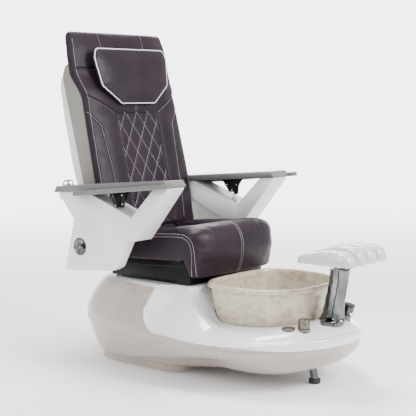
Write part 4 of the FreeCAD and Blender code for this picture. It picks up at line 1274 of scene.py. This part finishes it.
def pillow():
    """The head pillow, with pale piping round its front edge."""
    radii = [0.024, 0.024, 0.05, 0.03, 0.022, 0.022, 0.03, 0.05]
    outline = rounded_outline(PILLOW, radii, 7)
    centre = Vector((0.0, 0.765))
    rings = []
    for share, n in ((0.80, PILLOW_REAR), (0.95, PILLOW_REAR + 0.004), (0.985, PILLOW_REAR + 0.012),
                     (0.995, PILLOW_EDGE - 0.006), (0.985, PILLOW_EDGE), (0.93, PILLOW_EDGE + 0.006),
                     (0.80, PILLOW_EDGE + 0.010), (0.5, PILLOW_EDGE + 0.013),
                     (0.2, PILLOW_EDGE + PILLOW_CROWN)):
        rings.append([back_point(*(centre + (p - centre) * share), n) for p in outline])
    piece = loft("pillow_stuffed", rings, sharp=80)
    edge = [back_point(*(centre + (p - centre) * 0.992), PILLOW_EDGE - 0.001) for p in outline]
    edge = along(edge, 0.006, closed=True)

    def held(point):
        return back_coordinates(point)[1] < PILLOW_REAR + 0.006
    stuff(piece, [edge + edge[:1]], held, voxel=0.006, pressure=3.0, cap=0.010)
    groove(piece, [edge + edge[:1]], 0.003, 0.008)
    dress(piece, "pillow", "leather", "pillow")
    tree = surface(piece)
    path = []
    for point in edge:
        hit, normal, _, _ = tree.find_nearest(point)
        path.append(hit + normal * 0.0014)
    cord = swept("pillow_piping", path, 0.0032, 10, closed=True)
    dress(cord, "pillow", "leather", material=PIPING)


SEAT_REAR = 0.362
ROLL_HALF, CUSHION_HALF = 0.277, 0.167


def seat_top(y):
    """Top of the bolsters against y; it rises towards the front."""
    return 0.644 - (y + 0.090) * 0.0835


def front_roll():
    """The rolled front of the seat: bowed forward in the middle, wrapped over the rail box."""
    rings = []
    for step in range(45):
        x = ROLL_HALF * math.sin(math.pi / 2 * (-1 + 2 * step / 44))
        end = max(0.0, 1 - (abs(x) / ROLL_HALF) ** 14) ** 0.5
        crown = 1 - (abs(x) / ROLL_HALF) ** 6
        y_front, z_top = -0.124 - 0.038 * crown, 0.634 + 0.016 * crown
        corners = [(-0.020, z_top - 0.002), (y_front + 0.016, z_top), (y_front - 0.002, 0.535),
                   (y_front + 0.022, 0.430), (-0.090, 0.430), (-0.079, 0.455), (-0.050, 0.503),
                   (-0.020, 0.503)]
        outline = rounded_outline(corners, [0.01, 0.062, 0.10, 0.016, 0.01, 0.02, 0.02, 0.005], 7)
        middle = Vector((-0.095, 0.535))
        shrink = 0.012 * (1 - end)
        rings.append([chair(x, *(p - (p - middle).normalized() * shrink)) for p in outline])
    return loft("roll", rings, sharp=80)


def bolster(side):
    """A side bolster behind the roll, higher towards its outer edge."""
    rings = []
    for step in range(37):
        y = -0.085 + (SEAT_REAR + 0.085) * step / 36
        top = seat_top(y)
        low = 0.494 - 0.05 * max(0.0, y) * 0.9
        inset = 0.010 * max(0.0, (y - SEAT_REAR + 0.02) / 0.02) ** 2
        if y < -0.045:
            low = 0.506
        corners = [(0.170, 0.522), (0.256, 0.522), (0.258, low), (0.272 - inset, low),
                   (0.272 - inset, top - 0.004), (0.185, top - 0.002 - inset), (0.170, top - 0.022)]
        outline = rounded_outline(corners, [0.003, 0.003, 0.003, 0.004, 0.030, 0.030, 0.012], 6)
        rings.append([chair(side * p.x, y, p.y) for p in outline])
    return loft("bolster", rings, sharp=80)


def seat_upholstery():
    """Front roll and side bolsters in one cover, with the double seam round each side."""
    whole = joined("seat_upholstery", [front_roll(), bolster(-1), bolster(1)])
    outer = [(0.350, 0.588), (0.114, 0.607), (-0.037, 0.617), (-0.070, 0.612), (-0.097, 0.598),
             (-0.113, 0.570), (-0.119, 0.513), (-0.117, 0.436)]
    inner = [(0.350, 0.574), (0.136, 0.592), (-0.027, 0.604), (-0.062, 0.600), (-0.087, 0.585),
             (-0.101, 0.558), (-0.105, 0.505), (-0.103, 0.436)]
    seams = []
    for side in (-0.272, 0.272):
        for line in (outer, inner):
            seams.append([chair(side, y, z) for y, z in smoothed(line)])
    roll_line = [chair(0.0, y, z) for y, z in smoothed([(-0.040, 0.640), (-0.082, 0.638), (-0.118, 0.622),
                                                        (-0.140, 0.580), (-0.147, 0.530), (-0.138, 0.470),
                                                        (-0.133, 0.432)])]

    def held(point):
        z, y = point.z, point.y - SHIFT
        return z < 0.437 or (y > -0.06 and z < 0.510) or (y > -0.085 and abs(point.x) < 0.176)
    stuff(whole, seams + [roll_line], held, voxel=0.0065, pressure=3.5, cap=0.020)
    tree = surface(whole)
    laid = [dropped(tree, path, Vector((1 if path[0].x < 0 else -1, 0, 0))) for path in seams]
    middle = []
    for offset in (-0.006, 0.006):
        middle.append([tree.find_nearest(point + Vector((offset, 0, 0)))[0] for point in roll_line])
    groove(whole, laid, 0.0022, 0.0065)
    groove(whole, [[tree.find_nearest(point)[0] for point in roll_line]], 0.0035, 0.0080)
    dress(whole, "seat", "leather", "seat_front_roll", "seat_bolster_left",
          "seat_bolster_right")
    stitches("seat_side_stitching", whole, laid, "seat", 0.0074, 0.0018, 0.0013)
    stitches("seat_front_stitching", whole, middle, "seat", 0.0074, 0.0018, 0.0012)


def smoothed(points, steps=8):
    """A soft curve through (y, z) points."""
    curve = []
    for index in range(len(points) - 1):
        a, b = Vector(points[max(0, index - 1)]), Vector(points[index])
        c, d = Vector(points[index + 1]), Vector(points[min(len(points) - 1, index + 2)])
        for step in range(steps):
            t = step / steps
            curve.append(0.5 * (2 * b + (c - a) * t + (2 * a - 5 * b + 4 * c - d) * t ** 2
                                + (3 * b - a - 3 * c + d) * t ** 3))
    return [(p.x, p.y) for p in curve] + [points[-1]]


def seat_cushion():
    """The lower middle of the seat, sewn across in two places."""
    rings = []
    for step in range(41):
        y = -0.070 + (SEAT_REAR + 0.070) * step / 40
        end = min(step, 40 - step) / 3
        inset = 0.008 * max(0.0, 1 - end) ** 2
        top = seat_top(y) - 0.034
        half = CUSHION_HALF - inset
        corners = [(-half, 0.520), (half, 0.520), (half, top - inset), (-half, top - inset)]
        outline = rounded_outline(corners, [0.004, 0.004, 0.024, 0.024], 6)
        rings.append([chair(p.x, y, p.y + (0.008 * (1 - (p.x / CUSHION_HALF) ** 2) if p.y > 0.55 else 0))
                      for p in outline])
    piece = loft("seat_cushion_stuffed", rings, sharp=80)
    seams = []
    for y in (0.060, 0.200):
        seams.append([chair(x / 50, y, seat_top(y) - 0.026) for x in range(-8, 9)])

    def held(point):
        return point.z < 0.560
    stuff(piece, seams, held, voxel=0.007, pressure=3.0, cap=0.014)
    tree = surface(piece)
    laid = [dropped(tree, path, Vector((0, 0, -1))) for path in seams]
    groove(piece, laid, 0.004, 0.009)
    dress(piece, "seat", "leather", "seat_cushion")
    doubled = [[point + Vector((0, offset, 0)) for point in path]
               for path in laid for offset in (-0.006, 0.006)]
    stitches("seat_cushion_stitching", piece, doubled, "seat", 0.0074, 0.0020, 0.0011)


# ---- stage --------------------------------------------------------------------------
def area_light(name, place, target, size, power):
    """A round white light facing its target."""
    light = bpy.data.lights.new(name, "AREA")
    light.shape, light.size, light.energy = "DISK", size, power
    lamp = bpy.data.objects.new(name, light)
    bpy.context.scene.collection.objects.link(lamp)
    lamp.location = place
    lamp.rotation_euler = (Vector(target) - Vector(place)).to_track_quat("-Z", "Y").to_euler()


def eased(nodes, links, source, within, onto, socket):
    """Drive a socket from a value, eased from one span onto another."""
    ease = nodes.new("ShaderNodeMapRange")
    ease.interpolation_type = "SMOOTHSTEP"
    for name, value in zip(("From Min", "From Max", "To Min", "To Max"), within + onto):
        ease.inputs[name].default_value = value
    links.new(source.outputs["Value"], ease.inputs["Value"])
    links.new(ease.outputs["Result"], socket)


def stage():
    """Pale floor, soft light and the camera."""
    world = bpy.data.worlds.new("studio")
    world.use_nodes = True
    nodes, links = world.node_tree.nodes, world.node_tree.links
    facing = nodes.new("ShaderNodeVectorMath")
    facing.operation = "DOT_PRODUCT"
    facing.inputs[1].default_value = BACKDROP_WAY
    links.new(nodes.new("ShaderNodeTexCoord").outputs["Generated"], facing.inputs[0])
    nodes["Background"].inputs["Color"].default_value = (1.0, 1.0, 1.0, 1)
    eased(nodes, links, facing, (0.78, 0.93), (1.35, 5.0), nodes["Background"].inputs["Strength"])
    bpy.context.scene.world = world
    floor = make("studio_floor", [(-9, -9, 0), (9, -9, 0), (9, 9, 0), (-9, 9, 0)], [(0, 1, 2, 3)])
    pale = finish("studio_floor_paint", (0.94, 0.94, 0.94), 0.9)
    drift(pale, "Base Color", (0.93, 0.93, 0.93), (0.95, 0.95, 0.95), "Noise", 0.5)
    nodes, links = pale.node_tree.nodes, pale.node_tree.links
    away = nodes.new("ShaderNodeVectorMath")
    away.operation = "LENGTH"
    links.new(nodes.new("ShaderNodeTexCoord").outputs["Object"], away.inputs[0])
    eased(nodes, links, away, (1.4, 7.0), (1.0, 0.0), nodes["Principled BSDF"].inputs["Alpha"])
    floor.data.materials.append(pale)
    floor.location.z = -0.001
    middle = (0, 0, 0.7)
    area_light("key", (0.6, -3.4, 2.6), middle, 1.6, 200)
    area_light("left", (-3.4, 0.4, 2.2), middle, 2.0, 60)
    area_light("rim", (2.6, 2.4, 2.8), middle, 2.0, 60)
    area_light("top", (0.3, 0.4, 4.2), middle, 1.6, 170)
    data = bpy.data.cameras.new("photo_camera")
    data.lens, data.sensor_width = CAMERA_LENS, 36.0
    camera = bpy.data.objects.new("photo_camera", data)
    bpy.context.scene.collection.objects.link(camera)
    camera.location = CAMERA_PLACE
    camera.rotation_euler = (CAMERA_PITCH, 0.0, CAMERA_TURN)
    bpy.context.scene.camera = camera


# ---- build --------------------------------------------------------------------------
stage()
FINISHES = make_finishes()
THREAD, PIPING = thread(), piping()
paint_cad_nodes()
upper_shell()
lower_shell()
basin()
column()
column_flange()
footrest_pips(footrest())
knob()
button()
trims()
hand_shower()
front_leg()
arms()
remote_loop()
rail_box()
side_shell()
rear_cover()
back_upholstery()
pillow()
seat_upholstery()
seat_cushion()
